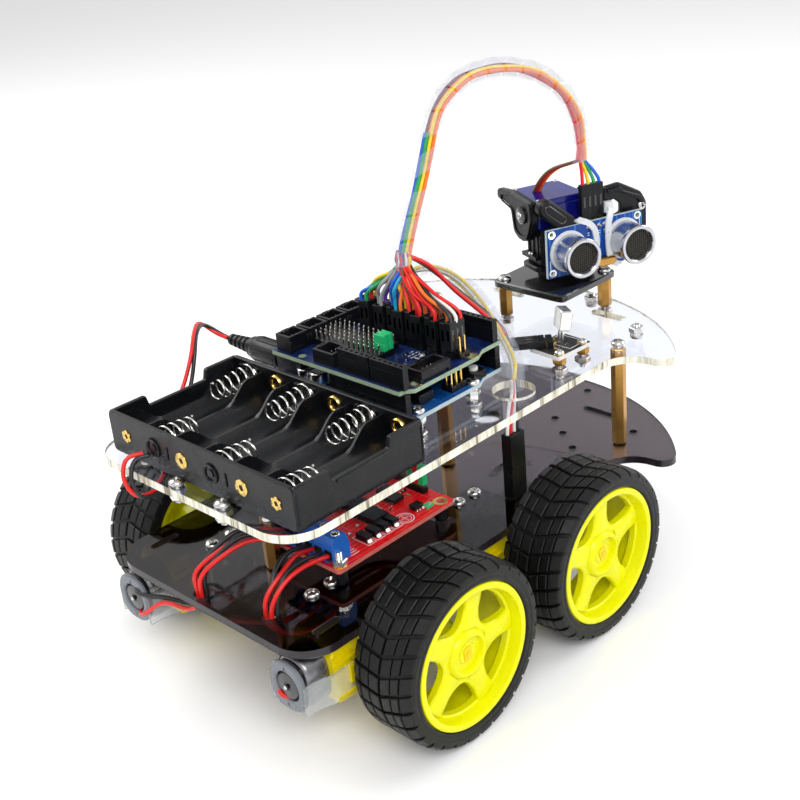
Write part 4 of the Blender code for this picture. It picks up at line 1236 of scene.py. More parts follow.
def add_tray():
    tray = Draft()
    tray_floor(tray)
    width = TRAY_HIGH.y - TRAY_LOW.y
    height = TRAY_HIGH.z - TRAY_LOW.z
    middle = (TRAY_HIGH + TRAY_LOW) / 2
    end_on = Matrix(((0, 0, 1, 0), (1, 0, 0, middle.y), (0, 1, 0, middle.z), (0, 0, 0, 1)))
    wall = rounded(rectangle(width, height), 2.2, 5)
    slots = [slot_outline(5.0, 0.9, (y - middle.y, 0.4), True) for y in (12.4, -18.4)]
    tray.plate(wall, slots, TRAY_LOW.x, TRAY_LOW.x + TRAY_WALL, TRAY_BLACK, matrix=end_on, bevel=0.3)
    tray.plate(wall, [], TRAY_HIGH.x - TRAY_WALL, TRAY_HIGH.x, TRAY_BLACK, matrix=end_on, bevel=0.3)
    side_on = Matrix(((1, 0, 0, middle.x), (0, 0, -1, 0), (0, 1, 0, middle.z), (0, 0, 0, 1)))
    reach, top = (TRAY_HIGH.x - TRAY_LOW.x) / 2 - 0.4, height / 2
    outline = [
        (-reach, -top), (reach, -top), (reach, top - 0.2), (13.4, top - 0.2), (12.4, top - 4.2),
        (-12.4, top - 4.2), (-13.4, top - 0.2), (-reach, top - 0.2),
    ]
    for y in (-TRAY_HIGH.y, -TRAY_LOW.y - TRAY_WALL):
        tray.plate(rounded(outline, 0.8, 3), [], y, y + TRAY_WALL, TRAY_BLACK, matrix=side_on, bevel=0.3)
    for y in (-TRAY_HIGH.y - 0.5, -TRAY_LOW.y - 0.5):
        lip = rounded(rectangle(22.0, 1.2, (0.0, top - 5.2)), 0.5, 2)
        tray.plate(lip, [], y, y + 1.0, TRAY_BLACK, matrix=side_on, bevel=0.15)
    rear = spun(-math.pi / 2, "Y")
    for index in (4, 2):
        place = moved(TRAY_LOW.x, CELL_MIDDLES[index], CELL_AXIS_Z - 0.6) @ rear
        ring = [(3.6, -0.2), (3.6, 0.5), (3.2, 0.7), (2.6, 0.5), (2.4, -0.2)]
        tray.ring(ring, 32, TRAY_BLACK, place)
        tray.lathe([(0, -0.2), (1.5, -0.2), (1.4, 0.45), (0, 0.5)], 20, TRAY_BLACK, place)
    tray.done("cell_tray", "chassis", stands_for=["battery_tray"], angle=38)


def add_contacts():
    """Rivets on the tray's rear wall, and for each cell a spring and an eyelet that face it."""
    metal = Draft()
    rear = spun(-math.pi / 2, "Y")
    for index, radius, round_one in ((5, 2.5, False), (3, 2.9, True), (1, 2.9, True), (0, 2.5, False)):
        y = CELL_MIDDLES[index] - (1.2 if index == 0 else 0.0)
        place = moved(TRAY_LOW.x, y, CELL_AXIS_Z - 0.8) @ rear
        petals = circle(radius, 28) if round_one else flower(radius)
        metal.plate(petals, [circle(radius * 0.36, 14)], -0.1, 0.45, GOLD, matrix=place, bevel=0.12)
        for petal in range(PETALS):
            angle = 2 * math.pi * (petal + 0.5) / PETALS
            spot = moved(radius * 0.66 * math.cos(angle), radius * 0.66 * math.sin(angle), 0.35)
            metal.lathe([(0, 0), (0.42, 0.0), (0.3, 0.22), (0, 0.3)], 10, GOLD, place @ spot)
    for index, y in enumerate(CELL_MIDDLES):
        x, other = TRAY_LOW.x + TRAY_WALL, TRAY_HIGH.x - TRAY_WALL
        way = 1
        if index % 2:
            x, other, way = other, x, -1
        points = []
        total = int(SPRING_TURNS * 16)
        for step in range(total + 1):
            share = step / total
            angle = 2 * math.pi * SPRING_TURNS * share
            reach = min(max((share - 0.06) / 0.88, 0.0), 1.0)
            radius = 4.7 - 1.5 * share
            level = CELL_AXIS_Z + 0.6 + radius * math.sin(angle)
            points.append((x + way * (0.5 + SPRING_REACH * reach), y + radius * math.cos(angle), level))
        metal.tube(points, 0.42, NICKEL, 8)
        flat = moved(x + way * 0.3, y, CELL_AXIS_Z + 0.3)
        metal.box((0.35, 10.5, 8.4), (0, 0, 0), NICKEL, flat)
        face = moved(other, y, CELL_AXIS_Z + 1.6) @ spun(-way * math.pi / 2, "Y")
        eyelet = [(3.3, 0.0), (3.3, 0.5), (2.9, 1.0), (2.2, 1.0), (1.8, 0.6), (1.8, 0.0)]
        metal.ring(eyelet, 32, GOLD, face)
    metal.done("cell_contacts", "chassis", angle=50)


# ------------------------------------------------------------------------ circuit boards

BOARD_X, BOARD_Y = 11.5, -1.5
BOARD_LENGTH, BOARD_WIDTH, BOARD_THICK = 68.6, 53.3, 1.6
BOARD_Z = node_box("controller_board")[0].z
BOARD_TOP = BOARD_Z + BOARD_THICK
SHIELD_Z = node_box("sensor_shield")[0].z
SHIELD_TOP = SHIELD_Z + BOARD_THICK
BOARD_HOLES = ((-7.0, -37.0 + 4.2), (21.3, -37.0 + 3.6), (-12.6, 18.5), (35.4, 17.0))
PIN_PITCH = 2.54
THREE_PINS = (-PIN_PITCH, 0.0, PIN_PITCH)


def board_outline():
    step, chamfer = 2.54, 37.85
    half, width = BOARD_LENGTH / 2, BOARD_WIDTH
    points = [
        (0.0, half), (width, half), (width, -half + step), (chamfer + 2 * step, -half + step),
        (chamfer, -half), (2 * step, -half), (step, -half + step), (0.0, -half + step),
    ]
    return rounded([(x - width / 2 + BOARD_X, y + BOARD_Y) for x, y in points], 0.6, 2)


def pin(draft, x, y, low, high, surface=GOLD, size=0.64):
    """A square header pin with a pointed end."""
    half = size / 2
    rings = []
    for scale, level in ((1.0, low), (1.0, high - 0.4), (0.45, high)):
        rings.append([(x + px * half * scale, y + py * half * scale, level) for px, py in CORNERS])
    draft.loft(rings, surface)


def female_header(draft, low, high):
    """A black socket strip along Y, with a row of square holes in its top."""
    x, y = (low[0] + high[0]) / 2, (low[1] + high[1]) / 2
    width, length = high[0] - low[0], high[1] - low[1]
    cap = high[2] - 3.0
    count = max(int(length / PIN_PITCH), 1)
    holes = []
    for index in range(count):
        off = (index - (count - 1) / 2) * PIN_PITCH
        holes.append(rectangle(1.15, 1.15, (x, y + off)))
    draft.plate(rectangle(width, length, (x, y)), holes, cap, high[2], BLACK, bevel=0.1)
    draft.box((width, length, cap - low[2]), (x, y, (cap + low[2]) / 2), BLACK)
    draft.box((0.9, length - 0.8, 0.3), (x, y, high[2] - 2.7), GLOSS_BLACK)


def latch_socket(draft, x, y, size, z):
    """A shrouded pin socket: four thin walls, a keyway in one, pins inside."""
    length, depth, height = size
    outer = rectangle(length, depth, (x, y))
    inner = rounded(rectangle(length - 2.0, depth - 2.2, (x, y)), 0.4, 2)
    draft.plate(outer, [inner], z + 1.2, z + height, BLACK, bevel=0.15)
    draft.box((length, depth, 1.3), (x, y, z + 0.65), BLACK)
    keyway = (x, y + depth / 2 - 0.5, z + 0.8 + height / 2)
    draft.box((length * 0.34, 1.4, height - 1.6), keyway, GLOSS_BLACK)
    for side in (1, -1):
        latch = (x + side * (length / 2 - 0.3), y - depth / 2 + 0.3, z + height * 0.36)
        draft.box((1.0, 1.6, height * 0.7), latch, BLACK)
    for index in range(3):
        pin(draft, x + (index - 1) * 2.0, y, z + 1.2, z + height - 1.4, NICKEL, 0.5)


def chip(draft, x, y, z, size, legs, along_y=True):
    """A black package with bent legs down two sides."""
    length, width, height = size
    dims = (width, length, height) if along_y else (length, width, height)
    draft.box(dims, (x, y, z + 0.4 + height / 2), BLACK)
    for index in range(legs):
        off = (index - (legs - 1) / 2) * length / legs
        for side in (1, -1):
            far, near = side * (width / 2 + 0.45), side * (width / 2 + 0.05)
            if along_y:
                foot, knee = (x + far, y + off), (x + near, y + off)
                leg, shin = (1.1, 0.4, 0.25), (0.25, 0.4, 0.8)
            else:
                foot, knee = (x + off, y + far), (x + off, y + near)
                leg, shin = (0.4, 1.1, 0.25), (0.4, 0.25, 0.8)
            draft.box(leg, (*foot, z + 0.14), NICKEL)
            draft.box(shin, (*knee, z + 0.5), NICKEL)


def scatter_small(draft, low, high, z, count, keep_off=()):
    """Surface-mount resistors and capacitors in tidy spots, on half-pitch steps."""
    taken = list(keep_off)
    made = 0
    for _ in range(count * 12):
        if made == count:
            break
        x = round(random.uniform(low[0], high[0]) / 1.9) * 1.9
        y = round(random.uniform(low[1], high[1]) / 1.9) * 1.9
        if any(abs(x - ox) < dx and abs(y - oy) < dy for ox, oy, dx, dy in taken):
            continue
        taken.append((x, y, 1.9, 1.9))
        made += 1
        along = random.random() < 0.5
        body = random.choice((BLACK, WHITE_PLASTIC, BRASS, BLACK))
        size = (1.6, 0.85, 0.5) if along else (0.85, 1.6, 0.5)
        ends = (0.35, 0.87, 0.52) if along else (0.87, 0.35, 0.52)
        draft.box(size, (x, y, z + 0.27), body)
        for side in (1, -1):
            off = (side * 0.68, 0.0) if along else (0.0, side * 0.68)
            draft.box(ends, (x + off[0], y + off[1], z + 0.27), NICKEL)


def solder_row(draft, x, y, count, z):
    """Solder cones under the board, round the pins of a strip along Y."""
    for index in range(count):
        off = (index - (count - 1) / 2) * PIN_PITCH
        place = moved(x, y + off, z) @ spun(math.pi, "X")
        draft.lathe([(0, 0), (0.85, 0.0), (0.45, 0.5), (0.3, 1.2), (0, 1.25)], 8, NICKEL, place)


def pad_ring(draft, x, y, z, inner, outer):
    draft.ring([(inner, -0.02), (inner, 0.06), (outer, 0.06), (outer, -0.02)], 28, GOLD, moved(x, y, z))


def print_line(draft, points, z, width=0.28):
    """A printed line on a board, proud by the ink's thickness."""
    for start, end in zip(points, points[1:]):
        a, b = Vector((*start, z)), Vector((*end, z))
        run = b - a
        turn = math.atan2(run.y, run.x)
        place = Matrix.Translation((a + b) / 2) @ spun(turn)
        draft.box((run.length + width, width, 0.06), (0, 0, 0.02), PRINT, place)


def print_frame(draft, low, high, z):
    corners = [low, (high[0], low[1]), high, (low[0], high[1]), low]
    print_line(draft, corners, z, 0.25)


def add_controller():
    board = Draft()
    holes = [circle(1.6, 20, spot) for spot in BOARD_HOLES]
    board.plate(board_outline(), holes, BOARD_Z, BOARD_TOP, CONTROLLER_BLUE, PALE_EDGE)
    board.done("lower_circuit_board", "chassis", stands_for=["controller_board"])
    parts = Draft()
    rear = BOARD_X - BOARD_WIDTH / 2
    headers = ["header_rear", "header_front"]
    for name in headers:
        low, high = node_box(name)
        female_header(parts, low, (high.x, high.y, high.z - 1.2))
        lid = ((low.x + high.x) / 2, (low.y + high.y) / 2, high.z - 0.6)
        parts.box((high.x - low.x, high.y - low.y, 1.4), lid, BLACK)
    chip(parts, rear + 15.0, BOARD_Y - 12.0, BOARD_TOP, (35.0, 7.2, 3.6), 14)
    chip(parts, rear + 33.0, BOARD_Y + 12.0, BOARD_TOP, (7.0, 7.0, 1.2), 8)
    for x, y in ((rear + 4.2, BOARD_Y + 21.0), (rear + 4.2, BOARD_Y + 14.0)):
        can = [(0, 0), (3.2, 0.0), (3.2, 0.9), (3.0, 1.2), (3.2, 1.5), (3.2, 5.2), (2.9, 5.5), (0, 5.5)]
        parts.lathe(can, 24, NICKEL, moved(x, y, BOARD_TOP))
        parts.box((6.6, 6.6, 0.8), (x, y, BOARD_TOP + 0.4), BLACK)
    crystal = slot_outline(10.5, 4.0, (rear + 25.0, BOARD_Y + 3.0), True)
    parts.prism(crystal, BOARD_TOP, BOARD_TOP + 3.4, NICKEL)
    chip(parts, rear + 9.5, BOARD_Y + 26.5, BOARD_TOP, (6.5, 3.5, 1.6), 3, along_y=False)
    taken = [(rear + 33.0, BOARD_Y + 12.0, 6, 6), (rear + 25.0, BOARD_Y + 3.0, 3.5, 7.5)]
    scatter_small(parts, (rear + 21, BOARD_Y - 25), (rear + 47, BOARD_Y + 24), BOARD_TOP, 34, taken)
    for index in range(3):
        for row in range(2):
            x, y = rear + 27.0 + index * PIN_PITCH, BOARD_Y - 30.5 + row * PIN_PITCH
            pin(parts, x, y, BOARD_TOP, BOARD_TOP + 8.0)
            parts.box((2.4, 2.4, 2.4), (x, y, BOARD_TOP + 1.2), BLACK)
            pin(parts, x, y, BOARD_Z - 2.4, BOARD_Z + 0.2, NICKEL)
    button = (rear + 40.5, BOARD_Y - 29.0)
    parts.box((6.5, 6.5, 3.0), (*button, BOARD_TOP + 1.5), BLACK)
    cap = [(0, 3.0), (1.7, 3.0), (1.7, 4.2), (0, 4.3)]
    parts.lathe(cap, 20, WHITE_PLASTIC, moved(*button, BOARD_TOP))
    for x, length, y in ((rear + 2.54, 38.0, -14.0), (rear + 50.8, 46.0, -9.0)):
        solder_row(parts, x, BOARD_Y + y, int(length / PIN_PITCH), BOARD_Z)
    print_frame(parts, (rear + 28, BOARD_Y + 7), (rear + 38, BOARD_Y + 17), BOARD_TOP)
    parts.done("controller_parts", "chassis", bevel=0.08, segments=1, stands_for=headers)


def add_sockets():
    """The controller's programming socket and power jack, and the plug in the jack."""
    sockets = Draft()
    low, high = node_box("usb_socket")
    middle = (low + high) / 2
    mouth = upright(middle.x, middle.z)
    shell = rounded(rectangle(high.x - low.x, high.z - low.z), 0.8, 3)
    hollow = rounded(rectangle(high.x - low.x - 1.4, high.z - low.z - 1.4), 0.5, 3)
    sockets.plate(shell, [hollow], low.y, high.y, NICKEL, matrix=mouth)
    sockets.plate(hollow, [], low.y, low.y + 4.0, BLACK, matrix=mouth)
    sockets.box((4.6, 9.0, 3.0), (middle.x, middle.y, middle.z), WHITE_PLASTIC)
    sockets.done("programming_socket", "chassis", stands_for=["usb_socket"])

    power = Draft()
    low, high = node_box("dc_jack")
    middle = (low + high) / 2
    mouth = upright(middle.x, middle.z)
    front = rounded(rectangle(high.x - low.x, high.z - low.z), 0.6, 2)
    power.plate(front, [circle(3.0, 24)], low.y + 5.0, high.y, BLACK, matrix=mouth, bevel=0.2)
    power.box((high.x - low.x, 5.2, high.z - low.z - 1.6), (middle.x, low.y + 2.6, middle.z - 0.8), BLACK)
    power.done("power_jack", "chassis", stands_for=["dc_jack"])
    plug = Draft()
    out = moved(middle.x, high.y, middle.z) @ spun(-math.pi / 2, "X")
    body = [(0, 0.3), (4.7, 0.3), (5.0, 0.7), (5.0, 15.5), (4.7, 16.4), (4.2, 17.0), (4.2, 18.5), (3.4, 19.0)]
    for index in range(5):
        z = 19.2 + index * 2.8
        wide = 3.2 - index * 0.22
        body += [(wide, z), (wide, z + 1.5), (wide - 0.75, z + 1.7), (wide - 0.75, z + 2.6)]
    body.append((0.0, 33.9))
    plug.lathe(body, 32, BLACK, out)
    for index in range(10):
        place = out @ spun(2 * math.pi * index / 10)
        plug.box((0.5, 1.2, 12.0), (5.0, 0.0, 8.0), BLACK, place)
    plug.done("power_plug", "chassis", bevel=0.1, segments=1, stands_for=["dc_plug"])


def add_shield():
    board = Draft()
    holes = [circle(1.6, 20, spot) for spot in BOARD_HOLES]
    board.plate(board_outline(), holes, SHIELD_Z, SHIELD_TOP, BLUE_BOARD, GREEN_EDGE)
    board.done("shield_board", "chassis", stands_for=["sensor_shield"])
    z = SHIELD_TOP
    parts = Draft()
    for x, y in BOARD_HOLES[:2]:
        pad_ring(parts, x, y, z, 1.6, 2.6)
    rear = BOARD_X - BOARD_WIDTH / 2
    rows = (
        (1.2, 3.8, -17.6, -2.2), (1.2, 3.8, -34.4, -18.4), (49.4, 52.0, -12.0, 12.0),
        (49.4, 52.0, -33.0, -12.8),
    )
    for low_x, high_x, low_y, high_y in rows:
        female_header(parts, (rear + low_x, low_y, z + 0.1), (rear + high_x, high_y, z + 8.6))
    latch_socket(parts, -9.2, 6.0, (9.0, 10.5, 5.2), z)
    latch_socket(parts, 1.2, -31.0, (14.5, 7.2, 4.6), z)
    parts.box((14.5, 1.0, 3.0), (1.2, -35.0, z + 3.0), BLACK)
    for column in range(6):
        for row in range(13):
            x, y = -1.4 + column * PIN_PITCH, 22.6 - row * PIN_PITCH
            if y < -9.5 + (column > 3) * 3.0:
                continue
            pin(parts, x, y, z, z + 5.6, NICKEL, 0.6)
            parts.box((2.45, 2.45, 2.3), (x, y, z + 1.15), BLACK)
    for column in range(2):
        for row in range(3):
            x, y = 17.6 + column * PIN_PITCH, -26.8 - row * PIN_PITCH
            pin(parts, x, y, z, z + 8.4, GOLD, 0.62)
            parts.box((2.45, 2.45, 2.3), (x, y, z + 1.15), BLACK)
    scatter_small(parts, (-10, -27), (14, -12), z, 20, [(3.5, -7.0, 6, 6), (1.2, -31, 9, 6)])
    chip(parts, -5.0, -18.0, z, (5.0, 4.0, 1.4), 4)
    print_frame(parts, (-9.5, -22.5), (-1.5, -13.8), z)
    print_line(parts, [(3.0, -24.0), (9.0, -24.0), (9.0, -17.0)], z)
    for index in range(6):
        print_line(parts, [(-2.7, 21.3 - index * 5.08), (12.6, 21.3 - index * 5.08)], z, 0.2)
    for row in range(7):
        for dash in range(3):
            x, y = 8.0 + dash * 1.9 + (row % 2) * 0.5, -13.2 - row * 1.8
            print_line(parts, [(x, y), (x + 0.9, y)], z, 0.35)
    parts.done("shield_parts", "chassis", bevel=0.08, segments=1)

    row = Draft()
    low, high = node_box("shield_socket_row")
    for index in range(5):
        x = (low.x + high.x) / 2 + (index - 2) * 10.2
        latch_socket(row, x, (low.y + high.y) / 2, (9.2, 7.8, 6.3), z + 0.1)
    row.done("socket_row", "chassis", bevel=0.1, segments=1, stands_for=["shield_socket_row"])

    jumper = Draft()
    half = [
        (-1.15, -2.5), (1.15, -2.5), (1.15, 2.5), (0.4, 2.5), (0.4, 0.8), (-0.4, 0.8), (-0.4, 2.5),
        (-1.15, 2.5),
    ]
    for x in (3.68, 6.22):
        jumper.prism([(px + x, py - 6.6) for px, py in half], z + 5.2, z + 8.6, GREEN_PLASTIC)
        jumper.box((2.3, 5.0, 3.0), (x, -6.6, z + 3.8), GREEN_PLASTIC)
    jumper.done("green_jumper", "chassis", bevel=0.25)


PLUG_X = 18.4
PLUG_ROWS = [14.0, 11.4, 6.6, 4.0, -0.6, -3.2, -5.8, -9.8, -12.4, -15.0, -19.6, -22.2, -26.8, -29.4]
PLUG_WIRES = [
    ("blue", "green", "yellow"), ("green", "red", "yellow"), ("grey", "white"), ("grey", "purple", "white"),
    ("blue", "purple"), ("cyan", "blue", "white"), ("orange", "yellow", "brown"), ("red", "orange", "yellow"),
    ("red", "brown"), ("red", "salmon", "brown"), ("red", "orange"), ("red", "brown", "black"),
    ("orange", "brown"), ("black", "white", "red"),
]
BUNDLE_FOOT = Vector((20.5, -4.5, 137.0))


def add_plug_row():
    plugs = Draft()
    top = SHIELD_TOP + 13.4
    for index, y in enumerate(PLUG_ROWS):
        lift = (0.0, 0.5, -0.3)[index % 3]
        outline = rectangle(7.6, 2.5, (PLUG_X, y))
        holes = [rectangle(1.3, 1.3, (PLUG_X + off, y)) for off in THREE_PINS]
        plugs.plate(outline, holes, SHIELD_TOP + 2.4 + lift, top + lift, BLACK, bevel=0.12)
        for off in THREE_PINS:
            plugs.box((0.9, 0.12, 4.2), (PLUG_X + off, y - 1.24, SHIELD_TOP + 8.5 + lift), GLOSS_BLACK)
            plugs.box((0.12, 0.9, 4.2), (PLUG_X - 3.8, y, SHIELD_TOP + 8.5 + lift), GLOSS_BLACK)
        plugs.box((7.4, 2.3, 2.4), (PLUG_X, y, SHIELD_TOP + 1.2), BLACK)
    plugs.done("plug_row", "chassis", stands_for=["shield_plug_row"])


def fan_wires():
    """The short wires from the plug row up into the foot of the wrapped bundle."""
    wires = Draft()
    for index, (y, colours) in enumerate(zip(PLUG_ROWS, PLUG_WIRES)):
        for step, colour in enumerate(colours):
            x = PLUG_X + (step - (len(colours) - 1) / 2) * PIN_PITCH
            angle = 2.4 * (index * 3 + step)
            ring = Vector((2.0 * math.cos(angle), 2.0 * math.sin(angle), 0.0))
            bulge = random.uniform(0.35, 0.6)
            start = Vector((x, y, SHIELD_TOP + 11.0))
            end = BUNDLE_FOOT + ring
            up = Vector((x, y, SHIELD_TOP + 16.5))
            side = start.lerp(end, bulge)
            side.z = up.z + (end.z - up.z) * 0.42 + random.uniform(-1.0, 1.5)
            side.x -= random.uniform(0.0, 3.0)
            route = smooth_route([start, up, side, end, end + Vector((0.3, 0.0, 5.0))], 5)
            wires.tube(route, 0.68, wire_finish(colour), 7)
    return wires.done("plug_row_wires", "chassis", angle=60)


def add_driver():
    low, high = node_box("motor_driver_board")
    z = high.z
    board = Draft()
    middle = ((low.x + high.x) / 2, (low.y + high.y) / 2)
    outline = rounded(rectangle(high.x - low.x, high.y - low.y, middle), 1.6, 4)
    spots = [
        (low.x + 3, low.y + 3), (high.x - 4, low.y + 3.6), (low.x + 3, high.y - 3),
        (high.x - 4, high.y - 3.6),
    ]
    board.plate(outline, [circle(1.6, 20, spot) for spot in spots], low.z, z, RED_BOARD, RED_EDGE)
    board.done("driver_circuit_board", "chassis", stands_for=["motor_driver_board"])
    parts = Draft()
    for x, y in spots:
        pad_ring(parts, x, y, z, 1.6, 2.9)
        hex_standoff(parts, x, y, LOWER_TOP + 0.1, low.z, 2.7, BLACK, 15.0)
    nut(parts, *spots[0], z + 0.1, 15.0, NICKEL)
    shank(parts, *spots[0], z, z + 5.2, NICKEL)
    for index in range(4):
        x = -31.5 + index * 4.5
        parts.box((3.0, 5.4, 2.3), (x, -25.6, z + 1.4), BLACK)
        for side in (1, -1):
            parts.box((2.2, 1.3, 0.35), (x, -25.6 + side * 3.1, z + 0.2), NICKEL)
            parts.box((2.2, 0.3, 1.2), (x, -25.6 + side * 2.75, z + 0.7), NICKEL)
        print_frame(parts, (x - 1.9, -29.8), (x + 1.9, -21.4), z)
    for inner, outer in ((3.2, 3.6), (2.3, 2.5)):
        mark = [(inner, 0.0), (inner, 0.06), (outer, 0.06), (outer, 0.0)]
        parts.ring(mark, 36, PRINT, moved(-12.6, -27.2, z))
    print_line(parts, [(-14.3, -27.2), (-10.9, -27.2)], z)
    print_line(parts, [(-12.6, -28.9), (-12.6, -25.5)], z)
    chip(parts, -5.2, -26.0, z, (4.2, 3.4, 1.7), 3, along_y=False)
    parts.box((3.6, 2.6, 0.9), (-1.6, -28.4, z + 0.45), GREEN_PLASTIC)
    parts.box((3.8, 1.2, 1.0), (-1.6, -28.4, z + 0.45), NICKEL)
    chip(parts, -20.0, -13.0, z, (20.0, 7.5, 2.6), 10)
    chip(parts, -6.0, -13.5, z, (9.0, 5.5, 1.8), 6)
    for index in range(6):
        x = -33.0 + index * 4.0
        parts.box((1.8, 3.2, 1.3), (x, 0.5, z + 0.65), GREEN_PLASTIC if index % 2 else WHITE_PLASTIC)
    scatter_small(parts, (-42, -21), (2, 2), z, 26, [(-20, -13, 6, 12), (-6, -13.5, 5, 7), (-23, 0.5, 14, 3)])
    for index in range(7):
        pin(parts, high.x - 3.0, -20.0 + index * PIN_PITCH, z, z + 8.5)
    parts.box((2.5, 7 * PIN_PITCH, 2.4), (high.x - 3.0, -20.0 + 3 * PIN_PITCH, z + 1.2), BLACK)
    for index, colour in enumerate((GREEN_PLASTIC, RED_BOARD, GREEN_PLASTIC)):
        parts.box((2.4, 2.4, 6.0), (high.x - 3.0, -20.0 + index * PIN_PITCH * 1.05, z + 6.6), colour)
    for index in range(5):
        print_line(parts, [(-41.5, -29.5 + index * 1.4), (-38.0, -29.5 + index * 1.4)], z, 0.35)
    parts.done("driver_parts", "chassis", bevel=0.08, segments=1)


def add_terminals():
    blocks = Draft()
    low, high = node_box("driver_terminals")
    count = 3
    length = (high.y - low.y) / count
    for index in range(count):
        y = low.y + (index + 0.5) * length
        place = moved((low.x + high.x) / 2, y, low.z) @ spun(math.pi / 2, "X")
        outline = [(-4.0, 0.0), (4.0, 0.0), (4.0, 6.4), (2.6, 10.0), (-2.8, 10.0), (-4.0, 8.0)]
        reach = length / 2 - 0.1
        blocks.plate(outline, [], -reach, reach, TERMINAL_BLUE, matrix=place, bevel=0.15)
        for off in (-2.5, 2.5):
            top = moved((low.x + high.x) / 2, y + off, high.z - 0.4)
            blocks.stamp(SMALL_HEAD, NICKEL, top @ Matrix.Scale(0.9, 4))
            # Painted shade: a black block at each wire entry stands in for the shadowed opening in the blue
            # block.
            blocks.box((0.6, 3.2, 4.0), (low.x - 0.05, y + off, low.z + 3.2), BLACK)
    blocks.done("screw_terminals", "chassis", stands_for=["driver_terminals"])


RECEIVER_PLUG = (61.2, -27.0)
RECEIVER_TURN = math.radians(-44)


def add_infrared():
    low, high = node_box("infrared_board")
    middle = (low + high) / 2
    tilt = moved(middle.x, middle.y, 0) @ spun(math.radians(-4))
    board = Draft()
    outline = rounded(rectangle(high.x - low.x, high.y - low.y), 0.8, 3)
    holes = [circle(1.5, 18, (-6.4, -5.2)), circle(1.5, 18, (6.8, -5.2))]
    board.plate(outline, holes, low.z, high.z, BLACK_BOARD, PRINT, matrix=tilt)
    board.done("receiver_circuit_board", "chassis", stands_for=["infrared_board"])
    parts = Draft()
    z = high.z
    spots = [tilt @ Vector((6.8, -5.2, 0.0)), tilt @ Vector((-6.4, -5.2, 0.0))]
    for spot in spots:
        pad_ring(parts, spot.x, spot.y, z, 1.5, 2.3)
        hex_standoff(parts, spot.x, spot.y, UPPER_TOP + 0.1, low.z, 2.6, BRASS)
        screw(parts, spot.x, spot.y, z + 0.1, turn=30, small=True)
        nut(parts, spot.x, spot.y, UPPER_LOW - 2.4, turn=5)
        shank(parts, spot.x, spot.y, UPPER_LOW - 4.5, UPPER_TOP + 0.2)
    scatter_small(parts, (middle.x - 7, middle.y - 4), (middle.x + 2, middle.y + 4), z, 8)
    plug_at = moved(*RECEIVER_PLUG, z + 1.6) @ spun(RECEIVER_TURN)
    for off in THREE_PINS:
        parts.box((5.0, 0.6, 0.6), (8.0, off, 0.0), GOLD, plug_at)
    parts.box((2.4, 7.6, 2.6), (8.0, 0.0, -0.2), BLACK, plug_at)
    print_frame(parts, (middle.x - 1.0, middle.y - 5.6), (middle.x + 8.0, middle.y + 6.2), z)
    parts.done("receiver_parts", "chassis", bevel=0.06, segments=1)
    can = Draft()
    low, high = node_box("infrared_receiver")
    middle = (low + high) / 2
    stand = moved(middle.x, middle.y, z) @ spun(math.radians(-32))
    stand = stand @ spun(math.radians(9), "Y")
    for off in THREE_PINS:
        can.box((0.5, 0.5, 6.0), (0.0, off, 2.6), NICKEL, stand)
    shell = rounded(rectangle(4.6, 7.4), 0.5, 3)
    can.plate(shell, [], 5.0, 13.0, NICKEL, matrix=stand, bevel=0.4)
    can.box((0.5, 6.2, 6.2), (2.3, 0.0, 9.0), DARK_STEEL, stand)
    can.box((0.7, 0.5, 6.6), (2.35, 0.0, 9.0), NICKEL, stand)
    can.box((0.7, 6.4, 0.5), (2.35, 0.0, 9.0), NICKEL, stand)
    can.done("receiver_can", "chassis", bevel=0.1, segments=1, stands_for=["infrared_receiver"])
    plug = Draft()
    for off in THREE_PINS:
        body = rounded(rectangle(12.6, 2.45, (0.0, off)), 0.2, 2)
        plug.plate(body, [], -1.25, 1.25, BLACK, matrix=plug_at, bevel=0.12)
        plug.box((4.0, 0.9, 0.12), (1.0, off, 1.27), GLOSS_BLACK, plug_at)
    plug.done("receiver_plug", "chassis")


def add_board_hardware():
    metal = Draft()
    for index, (x, y) in enumerate(BOARD_HOLES):
        hex_standoff(metal, x, y, UPPER_TOP + 0.05, BOARD_Z, 2.8, NICKEL, 20.0)
        screw(metal, x, y, BOARD_TOP + 0.05, turn=33 * index)
        nut(metal, x, y, UPPER_LOW - NUT_HEIGHT - 0.05, turn=12)
        shank(metal, x, y, UPPER_LOW - 1.0, UPPER_TOP + 0.2)
    metal.done("board_screws", "chassis", angle=40)


# ---------------------------------------------------------------------- pan and tilt head

PLATE_TOP = node_box("pan_plate")[1].z
PAN_SPOT = (111.0, -4.0)
PAN_REST = -111.0
PIVOT = 27.0
SENSOR_SIDE = 9.0
SENSOR_DROP = 14.0
BOARD_FACE = 14.0
HEAD = moved(*PAN_SPOT, PLATE_TOP) @ spun(math.radians(PAN_REST))
# Plates drawn in (right, up) as seen from in front of the sensor, and their depth forward.
FACE = HEAD @ Matrix(((0, 0, 1, 0), (1, 0, 0, SENSOR_SIDE), (0, 1, 0, PIVOT - SENSOR_DROP), (0, 0, 0, 1)))
# Plates drawn in (forward, up about the pivot), and their depth to the left.
FLANK = HEAD @ upright(0.0, PIVOT)
EYE_SIDE = 13.0
SENSOR_PINS = [0.6 + (index - 1.5) * PIN_PITCH for index in range(4)]


